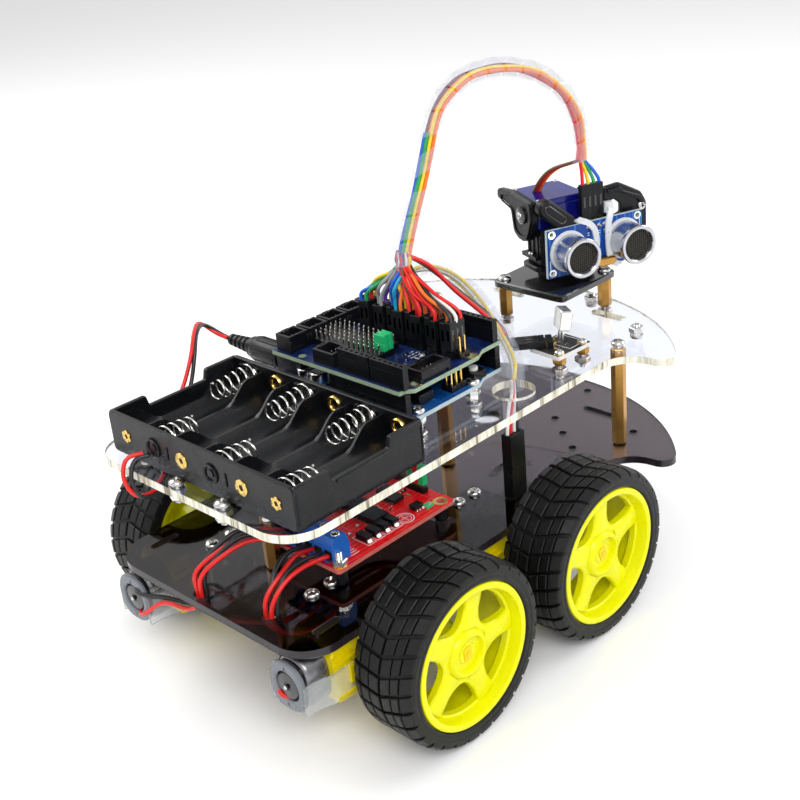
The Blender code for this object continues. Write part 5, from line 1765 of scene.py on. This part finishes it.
def add_pan_mount():
    plate = Draft()
    low, high = node_box("pan_plate")
    middle = (low + high) / 2
    size = high.x - low.x
    outline = rounded(rectangle(size, size, (middle.x, middle.y)), 3.2, 5)
    plate.plate(outline, [], low.z, high.z, GLOSS_BLACK, bevel=0.5)
    plate.done("pan_mount_plate", "chassis", stands_for=["pan_plate"])
    metal = Draft()
    pillars = ["pan_standoff_rear", "pan_standoff_front"]
    for sign, name in zip((-1, 1), pillars):
        foot, top = node_box(name)
        x, y = (foot.x + top.x) / 2, (foot.y + top.y) / 2
        hex_standoff(metal, x, y, foot.z, top.z, 2.9, BRASS, 12.0 * sign)
        screw(metal, x, y, high.z + 0.05, turn=40 * sign)
        nut(metal, x, y, UPPER_LOW - NUT_HEIGHT - 0.05, turn=9)
        shank(metal, x, y, UPPER_LOW - 2.0, UPPER_TOP + 0.4)
    metal.done("pan_mount_pillars", "chassis", stands_for=pillars, angle=40)
    base = Draft()
    place = moved(*PAN_SPOT, PLATE_TOP)
    foot = [(0, 0.1), (9.0, 0.1), (9.0, 1.9), (8.6, 2.4), (6.4, 2.5), (6.2, 2.9), (0, 2.9)]
    base.lathe(foot, 48, BLACK, place)
    for index in range(4):
        spoke = place @ spun(math.pi / 2 * index + 0.4)
        base.stamp(SMALL_HEAD, STEEL, spoke @ moved(7.4, 0, 2.0) @ Matrix.Scale(0.5, 4))
    base.done("pan_foot", "chassis", stands_for=["pan_base"])


def add_pan_head():
    shell = Draft()
    low = rounded(rectangle(13.0, 28.0), 2.6, 5)
    shell.plate(low, [], 3.4, 5.6, BLACK, matrix=HEAD, bevel=0.4)
    shell.plate(rounded(rectangle(12.6, 23.4), 2.2, 5), [], 5.2, 20.4, BLACK, matrix=HEAD, bevel=0.7)
    shell.box((12.9, 0.6, 12.0), (0.0, 0.0, 12.0), GLOSS_BLACK, HEAD)
    for x in (-3.4, 0.0, 3.4):
        for side in (1, -1):
            shell.box((1.0, 0.8, 10.5), (x, side * 11.8, 13.0), BLACK, HEAD)
    for side in (1, -1):
        shell.box((11.0, 2.6, 1.6), (0.0, side * 12.9, 9.2), BLACK, HEAD)
        shell.stamp(SMALL_HEAD, STEEL, HEAD @ moved(0.0, side * 12.9, 10.0) @ Matrix.Scale(0.7, 4))
    shell.done("pan_case", "pan_head", stands_for=["pan_housing"])


def add_tilt_servo():
    servo = Draft()
    box_low, box_high = (-16.6, -12.3, PIVOT - 5.9), (5.6, 10.0, PIVOT + 5.9)
    middle = [(a + b) / 2 for a, b in zip(box_low, box_high)]
    size = [b - a for a, b in zip(box_low, box_high)]
    shape = rounded(rectangle(size[0], size[1], middle[:2]), 1.0, 3)
    servo.plate(shape, [], box_low[2], box_high[2] - 2.6, BLUE_PLASTIC, matrix=HEAD, bevel=0.3)
    servo.plate(shape, [], box_high[2] - 2.4, box_high[2], BLUE_PLASTIC, matrix=HEAD, bevel=0.3)
    inset = rounded(rectangle(size[0] - 0.6, size[1] - 0.6, middle[:2]), 0.8, 3)
    servo.prism(inset, box_high[2] - 2.8, box_high[2] - 2.2, BLUE_PLASTIC, HEAD)
    servo.box((4.6, 26.6, 2.2), (middle[0] + 3.0, middle[1] + 0.6, PIVOT), BLUE_PLASTIC, HEAD)
    for x, y in ((-15.2, -10.9), (-15.2, 8.6), (4.2, -10.9), (4.2, 8.6)):
        servo.stamp(SMALL_HEAD, STEEL, HEAD @ moved(x, y, box_high[2] - 0.1) @ Matrix.Scale(0.5, 4))
    servo.lathe([(0, -9), (3.0, -9), (3.0, -12.4), (2.4, -12.8), (0, -12.8)], 24, WHITE_PLASTIC, FLANK)
    servo.box((6.0, 2.0, 3.4), (-14.2, -1.0, PIVOT - 1.0), BLACK, HEAD)
    servo.done("tilt_motor", "pan_head", stands_for=["tilt_servo"])


def add_yoke():
    yoke = Draft()
    wing = [
        (-20.5, 3.6), (-20.5, 6.6), (-8.0, 8.0), (7.6, 6.6), (7.8, -2.0), (4.0, -10.0), (-2.0, -11.6),
        (-7.0, -9.0), (-9.0, 1.0),
    ]
    yoke.plate(rounded(wing, 1.6, 4), [circle(2.4, 24)], -16.4, -13.2, BLACK, matrix=FLANK, bevel=0.6)
    rim = rounded([(x * 0.93, z * 0.93) for x, z in wing], 1.6, 4)
    hollow = rounded([(x * 0.78, z * 0.78) for x, z in wing], 1.2, 4)
    yoke.plate(rim, [hollow], -17.0, -16.2, BLACK, matrix=FLANK, bevel=0.25)
    horn = [(0, -13.0), (3.6, -13.0), (3.6, -17.2), (2.8, -17.6), (0, -17.6)]
    yoke.lathe(horn, 24, GLOSS_BLACK, FLANK)
    outward = FLANK @ moved(0, 0, -17.5) @ spun(math.pi, "X")
    yoke.stamp(SMALL_HEAD, STEEL, outward @ Matrix.Scale(0.8, 4))
    yoke.done("tilt_yoke", "pan_head", stands_for=["pan_yoke"])


def add_sensor_board():
    board = Draft()
    holes = [circle(0.95, 16, (x, y)) for x in (-20.3, 20.3) for y in (-8.1, 8.1)]
    outline = rectangle(45.0, 20.0)
    board.plate(outline, holes, BOARD_FACE - 1.6, BOARD_FACE, SENSOR_BLUE, PALE_EDGE, matrix=FACE)
    board.done("sensor_circuit_board", "sensor_head", stands_for=["ultrasonic_board"])
    parts = Draft()
    for x in (-20.3, 20.3):
        for y in (-8.1, 8.1):
            ring = [(0.95, -0.02), (0.95, 0.07), (1.7, 0.07), (1.7, -0.02)]
            parts.ring(ring, 20, NICKEL, FACE @ moved(x, y, BOARD_FACE))
    can = slot_outline(9.6, 3.6, (3.4, -7.4))
    parts.plate(can, [], BOARD_FACE, BOARD_FACE + 3.3, BRASS, matrix=FACE, bevel=0.5)
    for x in SENSOR_PINS:
        place = FACE @ moved(x, 7.8, BOARD_FACE)
        parts.lathe([(0, 0), (0.95, 0.0), (0.6, 0.5), (0.4, 1.2), (0, 1.3)], 12, NICKEL, place)
        parts.box((0.5, 0.5, 1.6), (x, 7.8, BOARD_FACE + 0.9), GOLD, FACE)
        parts.box((0.55, 3.4, 0.55), (x, 9.4, BOARD_FACE - 2.9), GOLD, FACE)
        for row in range(2):
            parts.box((0.9, 0.3, 0.06), (x, 5.4 - row * 0.9, BOARD_FACE + 0.02), PRINT, FACE)
    parts.box((10.2, 2.4, 2.5), (0.6, 9.0, BOARD_FACE - 2.9), BLACK, FACE)
    for x, y, wide in ((-21.3, -4.5, 0.3), (21.3, 4.5, 0.3)):
        parts.box((wide, 4.0, 0.06), (x, y, BOARD_FACE + 0.02), PRINT, FACE)
    for x, y in ((-1.2, -2.0), (1.0, 0.6), (-1.8, -5.4), (4.6, 4.6)):
        parts.box((1.7, 0.9, 0.5), (x, y, BOARD_FACE + 0.25), BLACK, FACE)
        for side in (1, -1):
            parts.box((0.35, 0.92, 0.52), (x + side * 0.7, y, BOARD_FACE + 0.26), NICKEL, FACE)
    for x, y in ((-11.0, 2.0), (8.5, -1.0), (0.0, -3.5)):
        parts.box((9.5, 5.0, 1.5), (x, y, BOARD_FACE - 2.4), BLACK, FACE)
        for index in range(7):
            for side in (1, -1):
                spot = (x + (index - 3) * 1.27, y + side * 2.9, BOARD_FACE - 1.9)
                parts.box((0.4, 1.1, 0.3), spot, NICKEL, FACE)
    parts.done("sensor_parts", "sensor_head", bevel=0.05, segments=1)


def add_eyes():
    for name, side in (("left", -1), ("right", 1)):
        eye = Draft()
        place = FACE @ moved(side * EYE_SIDE, 0.0, BOARD_FACE)
        seat = [(6.0, 0.1), (6.0, 1.2), (8.3, 1.2), (8.5, 0.9), (8.5, 0.1)]
        eye.ring(seat, 48, MILKY_TIE, place)
        barrel = [
            (0.0, 0.3), (7.5, 0.3), (7.5, 9.4), (7.7, 9.8), (8.0, 10.1), (8.1, 10.6), (8.1, 11.7),
            (7.8, 12.1), (7.3, 12.2), (6.7, 12.1), (6.4, 11.8), (6.3, 10.2), (0.0, 10.2),
        ]
        eye.lathe(barrel, 64, ALUMINIUM, place)
        eye.ring([(6.32, 10.1), (6.32, 11.7), (5.0, 10.5), (4.9, 10.1)], 48, GLOSS_BLACK, place)
        floor = [(0, 10.1), (5.1, 10.1), (5.0, 10.4), (3.2, 10.45), (2.6, 10.7), (0, 10.9)]
        eye.lathe(floor, 40, MESH_DARK, place)
        for step in range(-6, 7):
            off = step * 0.95
            reach = math.sqrt(6.2**2 - off**2) * 2
            eye.box((reach, 0.13, 0.13), (0.0, off, 11.3), MESH_WIRE, place)
            eye.box((0.13, reach, 0.13), (off, 0.0, 11.43), MESH_WIRE, place)
        eye.done("sensor_eye_" + name, "sensor_head", stands_for=["ultrasonic_eye_" + name])


def add_ties():
    """Two milky cable ties over the sensor's board, and the lock of one."""
    ties = Draft()
    deep = BOARD_FACE
    left = [
        (-8.0, 9.0, deep - 5.5), (-8.0, 11.6, deep - 1.0), (-6.5, 11.4, deep + 0.9), (-3.8, 10.0, deep + 1.4),
        (-1.6, 7.4, deep + 1.6), (-0.6, 4.2, deep + 1.5), (-0.3, 1.0, deep + 1.4), (-0.5, -2.6, deep + 1.2),
    ]
    right = [
        (7.6, 12.0, deep - 5.5), (8.0, 13.4, deep - 1.2), (6.6, 12.2, deep + 1.0), (5.3, 8.0, deep + 1.6),
        (5.0, 3.0, deep + 1.8), (5.2, -2.0, deep + 1.8), (6.0, -6.6, deep + 1.7), (8.6, -9.7, deep + 1.2),
        (11.6, -10.9, deep - 1.0), (12.2, -10.6, deep - 5.0),
    ]
    for knots, width in ((left, 2.4), (right, 2.6)):
        route = smooth_route(knots, 6)
        facing = []
        for point in route:
            share = min(max((point.z - deep + 1.5) / 2.0, 0.0), 1.0)
            edgeways = Vector((0.0, 1.0 if point.y > 0 else -1.0, 0.0))
            out = Vector((0.0, 0.0, 1.0)) * share + edgeways * (1 - share)
            facing.append(out.normalized())
        ties.ribbon(route, width, 0.9, MILKY_TIE, FACE, facing)
    ties.box((3.6, 4.2, 3.0), (7.8, 13.6, deep - 3.0), MILKY_TIE, FACE)
    ties.done("sensor_ties", "sensor_head", bevel=0.15)


def add_sensor_frame():
    """The black frame behind the board: its arched plate, the arm at the pivot and a slotted bar."""
    holder = Draft()
    arch = [
        (-17.0, 7.0), (-17.0, -4.2), (24.0, -4.2), (27.6, 0.0), (27.6, 11.6), (24.8, 16.4), (14.6, 22.0),
        (7.0, 21.4), (6.6, 7.0),
    ]
    window = [(8.6, 10.4), (8.6, 14.4), (11.8, 15.6), (14.8, 13.2), (14.8, 9.6), (11.6, 8.6)]
    slots = [slot_outline(5.0, 1.8, (x, 1.5)) for x in (-12.0, -4.0, 4.0, 12.0)]
    openings = [rounded(window, 0.7, 3)] + slots
    holder.plate(rounded(arch, 1.2, 4), openings, 7.9, 10.1, BLACK, matrix=FACE, bevel=0.45)
    ridge = [
        (16.0, 18.6), (14.4, 20.6), (8.4, 20.2), (8.4, 18.6), (13.4, 18.8), (22.8, 13.6), (25.4, 9.0),
        (26.8, 11.2), (24.0, 15.2),
    ]
    holder.plate(rounded(ridge, 0.5, 2), [], 10.0, 11.0, BLACK, matrix=FACE, bevel=0.3)
    holder.stamp(SMALL_HEAD, STEEL, FACE @ moved(24.8, 10.4, 10.0))
    flank = rounded([(8.6, -4.0), (8.6, 4.2), (-6.0, 4.2), (-12.0, 2.4), (-12.0, -2.4), (-6.0, -4.2)], 1.5, 4)
    holder.plate(flank, [circle(1.6, 20)], 16.3, 18.1, BLACK, matrix=FLANK, bevel=0.4)
    holder.stamp(SMALL_HEAD, STEEL, FLANK @ moved(0, 0, 18.0))
    bar = FACE @ moved(-16.2, 14.4, 8.4) @ spun(math.radians(-40))
    holder.plate(slot_outline(20.5, 7.6, (0.0, 0.0)), [], 0.0, 4.6, BLACK, matrix=bar, bevel=0.9)
    lip, hollow = (slot_outline(length, width, (-2.0, 0.0)) for length, width in ((12.0, 3.6), (10.6, 2.2)))
    holder.plate(lip, [hollow], 4.4, 5.0, GLOSS_BLACK, matrix=bar, bevel=0.2)
    holder.box((6.0, 5.0, 3.0), (-13.0, 7.0, 8.9), BLACK, FACE)
    holder.done("sensor_frame", "sensor_head", stands_for=["sensor_cradle"])


def add_sensor_plug():
    plug = Draft()
    stand = FACE @ upright()
    for x in SENSOR_PINS:
        outline = rectangle(2.46, 2.5, (x, 10.4))
        plug.plate(outline, [rectangle(1.3, 1.3, (x, 10.4))], 10.5, 24.5, BLACK, matrix=stand, bevel=0.12)
        plug.box((0.9, 4.4, 0.12), (x, 17.5, 11.7), GLOSS_BLACK, FACE)
    plug.done("sensor_lead_plug", "sensor_head", stands_for=["sensor_plug"])


# ----------------------------------------------------------------------- wrapped cables

SENSOR_ROUTE = [
    (20, -4, 137), (21, -5, 142), (29, -5, 159), (35, -5, 172), (43, -5, 188), (54, -5, 195), (67, -5, 197),
    (80, -6, 196), (96, -8, 191), (107, -12, 182), (112, -15, 171), (113, -16, 160), (112, -16.6, 154),
]
LINE_ROUTE = [
    (22, 6, 125), (30, 6, 128), (43, 6, 127), (54.5, 4, 120.5), (58.5, -6, 110), (50, -25, 101),
    (40, -38, 96), (36.5, -39.6, 89),
]
WRAP_RADIUS = 3.3


def wrap(draft, route, radius, pitch, width, surface, loose=()):
    """A flat band wound round the route. Between the `loose` distances one turn has slipped open."""
    frames = frames_along(route)
    path = [point for point, _, _ in frames]
    total = sum((end - start).length for start, end in zip(path, path[1:]))
    steps = 22
    middle, angle = 1.0, 0.0
    rings = []
    while middle < total - 1.0:
        corners = []
        for share, lift in ((-1, 0.0), (-0.9, 0.45), (0.9, 0.45), (1, 0.0), (0.9, -0.22), (-0.9, -0.22)):
            centre, index = along(path, middle + share * width / 2)
            _, side, other = frames[index]
            corners.append(centre + (side * math.cos(angle) + other * math.sin(angle)) * (radius + lift))
        rings.append(corners)
        slipped = loose and loose[0] < middle < loose[1]
        middle += pitch / steps * (2.1 if slipped else 1.0)
        angle += 2 * math.pi / steps
    draft.loft(rings, surface)


def inner_wires(name, route, colours, focus, reach, radius, body, high=None):
    """Wires that lie side by side inside a wrap, on the side nearest `focus`."""
    frames = frames_along(route)[:high]
    wires = Draft()
    for index, colour in enumerate(colours):
        across = (index - (len(colours) - 1) / 2) * radius * 1.75
        row = []
        for step, (point, side, other) in enumerate(frames):
            tangent = side.cross(other).normalized()
            inward = focus - point
            inward = (inward - tangent * inward.dot(tangent)).normalized()
            sideways = tangent.cross(inward)
            dip = reach - 0.35 * abs(across) + 0.25 * math.sin(step * 0.5 + index)
            row.append(point + inward * dip + sideways * across)
        wires.tube(row, radius, wire_finish(colour), 8)
    return wires.done(name, body, angle=60)


def head_point(forward, left, up):
    return HEAD @ Vector((forward, left, up))


def add_sensor_cable():
    route = smooth_route(SENSOR_ROUTE, 6)
    band = Draft()
    wrap(band, route, WRAP_RADIUS, 9.2, 8.3, MILKY, (27.0, 45.0))
    sleeve = band.done("sensor_cable_wrap", None, angle=50, stands_for=["sensor_cable"])
    focus = Vector((67.0, -5.0, 155.0))
    inside = []
    for label, colours, reach, radius, high in (
        ("upper", ("orange", "salmon", "red", "salmon"), 1.5, 0.72, None),
        ("lower", ("yellow", "orange", "brown"), 0.1, 0.7, None),
        ("far", ("green", "blue"), -1.3, 0.66, 22),
    ):
        name = f"sensor_cable_{label}_wires"
        inside.append(inner_wires(name, route, colours, focus, reach, radius, None, high))
    upper, lower, cool = inside
    last = route[-1]
    for piece in (sleeve, upper, lower):
        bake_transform(piece)
    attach(cool, "chassis")

    fan = Draft()
    for across, colour in zip(SENSOR_PINS, ("red", "yellow", "green", "blue")):
        foot = FACE @ Vector((across, 22.0, 10.4))
        mouth = FACE @ Vector((across, 25.6, 10.4))
        sideways = (Vector(foot) - (FACE @ Vector((0.6, 22.0, 10.4)))) * 0.28
        start = Vector(last) + sideways
        middle = start.lerp(mouth, 0.5) + Vector((0.6, 0.3, 0.0))
        knots = [start + Vector((0.2, 0.2, 6.0)), start, middle, mouth, foot]
        fan.tube(smooth_route(knots, 5), 0.7, wire_finish(colour), 8)
    ends = fan.done("sensor_plug_wires", None, angle=60)
    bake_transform(ends)

    tail = Draft()
    for index, colour in enumerate(("brown", "red", "orange")):
        off = (index - 1) * 1.35
        knots = [
            Vector(last) + Vector((0.2 * off, 0.2, 5.0)), Vector(last) + Vector((-0.8, 0.3, 0.5)),
            head_point(2.0, -1.0 + off, 44.0), head_point(-2.5, -4.0 + off, 39.5),
            head_point(-6.5, -5.0 + off, 34.0), head_point(-8.5, -5.2 + off, 31.0),
        ]
        tail.tube(smooth_route(knots, 5), 0.68, wire_finish(colour), 8)
    servo_lead = tail.done("servo_lead", "pan_head", angle=60)
    companions = [upper, lower, cool, ends, servo_lead, fan_wires()]


def add_line_cable():
    route = smooth_route(LINE_ROUTE, 6)
    band = Draft()
    wrap(band, route, WRAP_RADIUS, 8.6, 7.8, MILKY)
    sleeve = band.done("line_cable_wrap", "chassis", angle=50, stands_for=["line_cable"])
    focus = Vector((36.0, -12.0, 108.0))
    colours = ("yellow", "white", "yellow")
    inside = inner_wires("line_cable_wires", route, colours, focus, 0.8, 0.68, "chassis")
    ends = Draft()
    last = route[-1]
    for index, colour in enumerate(("white", "red", "white", "black")):
        off = (index - 1.5) * 1.9
        knots = [
            Vector(last) + Vector((off * 0.3, 0.0, 5.0)), Vector(last) + Vector((off * 0.4, 0.0, 0.0)),
            (34.5 + off * 0.8, -40.6, 83.0), (33.0 + off, -41.0, 76.5), (33.0 + off, -41.0, 73.0),
        ]
        ends.tube(smooth_route(knots, 5), 0.66, wire_finish(colour), 8)
    tails = ends.done("line_plug_wires", "chassis", angle=60)


def add_line_plug():
    plug = Draft()
    low, high = node_box("line_plug")
    middle = (low + high) / 2
    for half in (-1, 1):
        for index in range(4):
            x = middle.x + (index - 1.5) * 2.0
            level = middle.z if half > 0 else low.z
            tall = (high.z - low.z) / 2 - 0.3
            outline = rectangle(1.94, 4.4, (x, middle.y))
            plug.plate(outline, [], level, level + tall, BLACK, bevel=0.15)
        plug.box((7.4, 4.9, 1.0), (middle.x, middle.y, low.z + 0.6 + (half > 0) * 13.0), BLACK)
    plug.done("line_sensor_plug", "chassis", stands_for=["line_plug"])


def add_receiver_lead():
    """The flat lead of three wires from the bundle's foot to the receiver's plug."""
    out = Matrix.Rotation(RECEIVER_TURN, 3, "Z")
    plug = Vector((*RECEIVER_PLUG, node_box("infrared_board")[1].z + 1.6))
    for index, colour in enumerate(("red", "brown", "black")):
        off = (index - 1) * 1.5
        end = plug + out @ Vector((-5.6, -off * 1.5, 0.0))
        before = plug + out @ Vector((-8.6, -off * 1.3, 0.3))
        knots = [
            (20.5 + off * 0.2, -6.0 + off * 0.4, 141.0), (24.5, -6.5 + off * 0.7, 138.3),
            (31.0, -6.8 + off * 0.8, 133.5), (41.7 + off * 0.3, -7.5 + off, 122.0 + off * 0.5),
            (49.9 + off * 0.4, -10.0 + off, 113.0 + off * 0.5),
            (54.5 + off * 0.5, -14.5 + off * 0.9, 106.5 + off * 0.5),
            (57.0 + off * 0.6, -20.0 + off * 0.5, 100.5), before, end,
        ]
        lead("receiver_lead_" + colour, knots, THICK_LEAD, colour)


BATTERY_ROUTE = [
    (-80.4, 25, 95), (-85.5, 27, 94.5), (-88.7, 26, 89), (-87.6, 23.5, 83), (-82, 23.5, 80.5),
    (-74, 26, 81.5), (-60, 42, 83), (-46, 57, 85), (-36, 60, 94), (-30, 62, 104), (-24, 67, 110),
    (-14, 76, 108),
    (-8.6, 72.8, 102.4), (-7.6, 68.0, 101.4),
]


def add_power_leads():
    for colour, shift in (("red", Vector((-0.75, 0.5, 0.45))), ("black", Vector((0.75, -0.5, -0.45)))):
        knots = []
        for index, knot in enumerate(BATTERY_ROUTE):
            sway = 0.5 * math.sin(index * 1.7 + (colour == "red"))
            spread = shift * (1.0 + 0.5 * math.sin(index * 1.1))
            knots.append(Vector(knot) + spread + Vector((0.0, sway * 0.4, sway * 0.5)))
        knots[-1] = Vector(BATTERY_ROUTE[-1]) + shift * 0.9
        nodes = ["battery_lead"] if colour == "red" else []
        lead("battery_lead_" + colour, knots, THIN_LEAD, colour, nodes)


TERMINAL_ORDER = ("rear_right", "front_right", "front_left", "rear_left")
TERMINAL_PITCH = 7.6
LEAD_PITCH = 3.2
BOUND_LEVEL = 42.4


def add_motor_leads():
    """Each motor's two leads, up through the rear holes of the deck to the driver's terminals."""
    low, _ = node_box("driver_terminals")
    for hand, side in (("left", 1), ("right", -1)):
        hole_x, hole_y = REAR_LEAD_HOLES[hand]
        rise = 5.0 if side > 0 else 0.0
        for end, sign in (("front", 1), ("rear", -1)):
            name = f"{end}_{hand}"
            can_x = sign * WHEEL_BASE / 2 - GEARBOX_REAR - CAN_SHOWN
            can_y = side * (GEARBOX_OUTER_Y - GEARBOX_DEPTH / 2)
            for index, colour in enumerate(("red", "black")):
                half = index - 0.5
                x = hole_x + 2.0 * half
                y = hole_y + side * (-1.1 if end == "front" else 1.1)
                drop = 12.0 * half
                way_y = low.y + 2.4 + TERMINAL_ORDER.index(name) * TERMINAL_PITCH + index * LEAD_PITCH
                knots = [(can_x + 0.4, can_y, WHEEL_RADIUS + drop)]
                if end == "front":
                    inner_y = hole_y + (8.0 if side > 0 else 2.0)
                    knots += [
                        (can_x - 5.0, can_y - side * 7.0, WHEEL_RADIUS + drop * 0.7),
                        (can_x - 13.0, side * 24.0 + half * 2.2, 37.6 + half),
                        (can_x - 26.0, inner_y + half * 2.2, 38.4 + half),
                        (x + 8.0, y + half * 1.6, 38.8 - half * 2.0), (x + 1.2, y, BOUND_LEVEL),
                    ]
                else:
                    knots.append((can_x - 2.2, can_y - side * 5.5, WHEEL_RADIUS + drop * 0.75))
                    if side > 0:
                        part_way = can_y - (can_y - hole_y) * 0.45
                        forward = can_x + (hole_x - can_x) * 0.35 + 2.0 * half
                        knots.append((forward, part_way, 37.2 + half * 0.8))
                    knots += [(x - 0.6, y + side * 7.5, 38.6 + half), (x, y + side * 1.2, BOUND_LEVEL)]
                knots += [
                    (x, y, 47.6), (x + 1.6, y + (y - hole_y) * 0.5 + half * 0.6, 53.5 + rise * 0.5),
                    (-66.5, (hole_y + way_y) / 2 + half * 1.2, 59.5 + rise + half),
                    (-58.0, way_y + half * 0.5, 60.2 + rise * 0.6), (low.x + 0.6, way_y, low.z + 3.2),
                ]
                lead(f"motor_lead_{name}_{colour}", knots, THICK_LEAD, colour)


add_camera()
add_studio()
add_decks()
add_standoffs()
add_wheels()
add_motors()
add_tray()
add_contacts()
add_controller()
add_sockets()
add_shield()
add_plug_row()
add_driver()
add_terminals()
add_infrared()
add_board_hardware()
add_pan_mount()
add_pan_head()
add_tilt_servo()
add_yoke()
add_sensor_board()
add_eyes()
add_ties()
add_sensor_frame()
add_sensor_plug()
add_sensor_cable()
add_line_cable()
add_line_plug()
add_receiver_lead()
add_power_leads()
add_motor_leads()

PLAIN_FINISHES = {
    "smoked_acrylic": SMOKED, "clear_acrylic": CLEAR, "yellow_plastic": YELLOW, "tyre_rubber": RUBBER,
    "steel": STEEL, "aluminium": ALUMINIUM, "brass": BRASS, "black_plastic": BLACK, "blue_board": BLUE_BOARD,
    "red_board": RED_BOARD, "black_board": BLACK_BOARD, "blue_plastic": BLUE_PLASTIC, "silver_case": NICKEL,
    "cable_sleeve": MILKY, "lead_insulation": wire_finish("red"),
}
for entry in frame["record"]["subparts"]:
    shape = frame["nodes"][entry["node"]]
    surface = PLAIN_FINISHES[entry["material_slot"]]
    shape.data.materials.clear()
    shape.data.materials.append(surface)
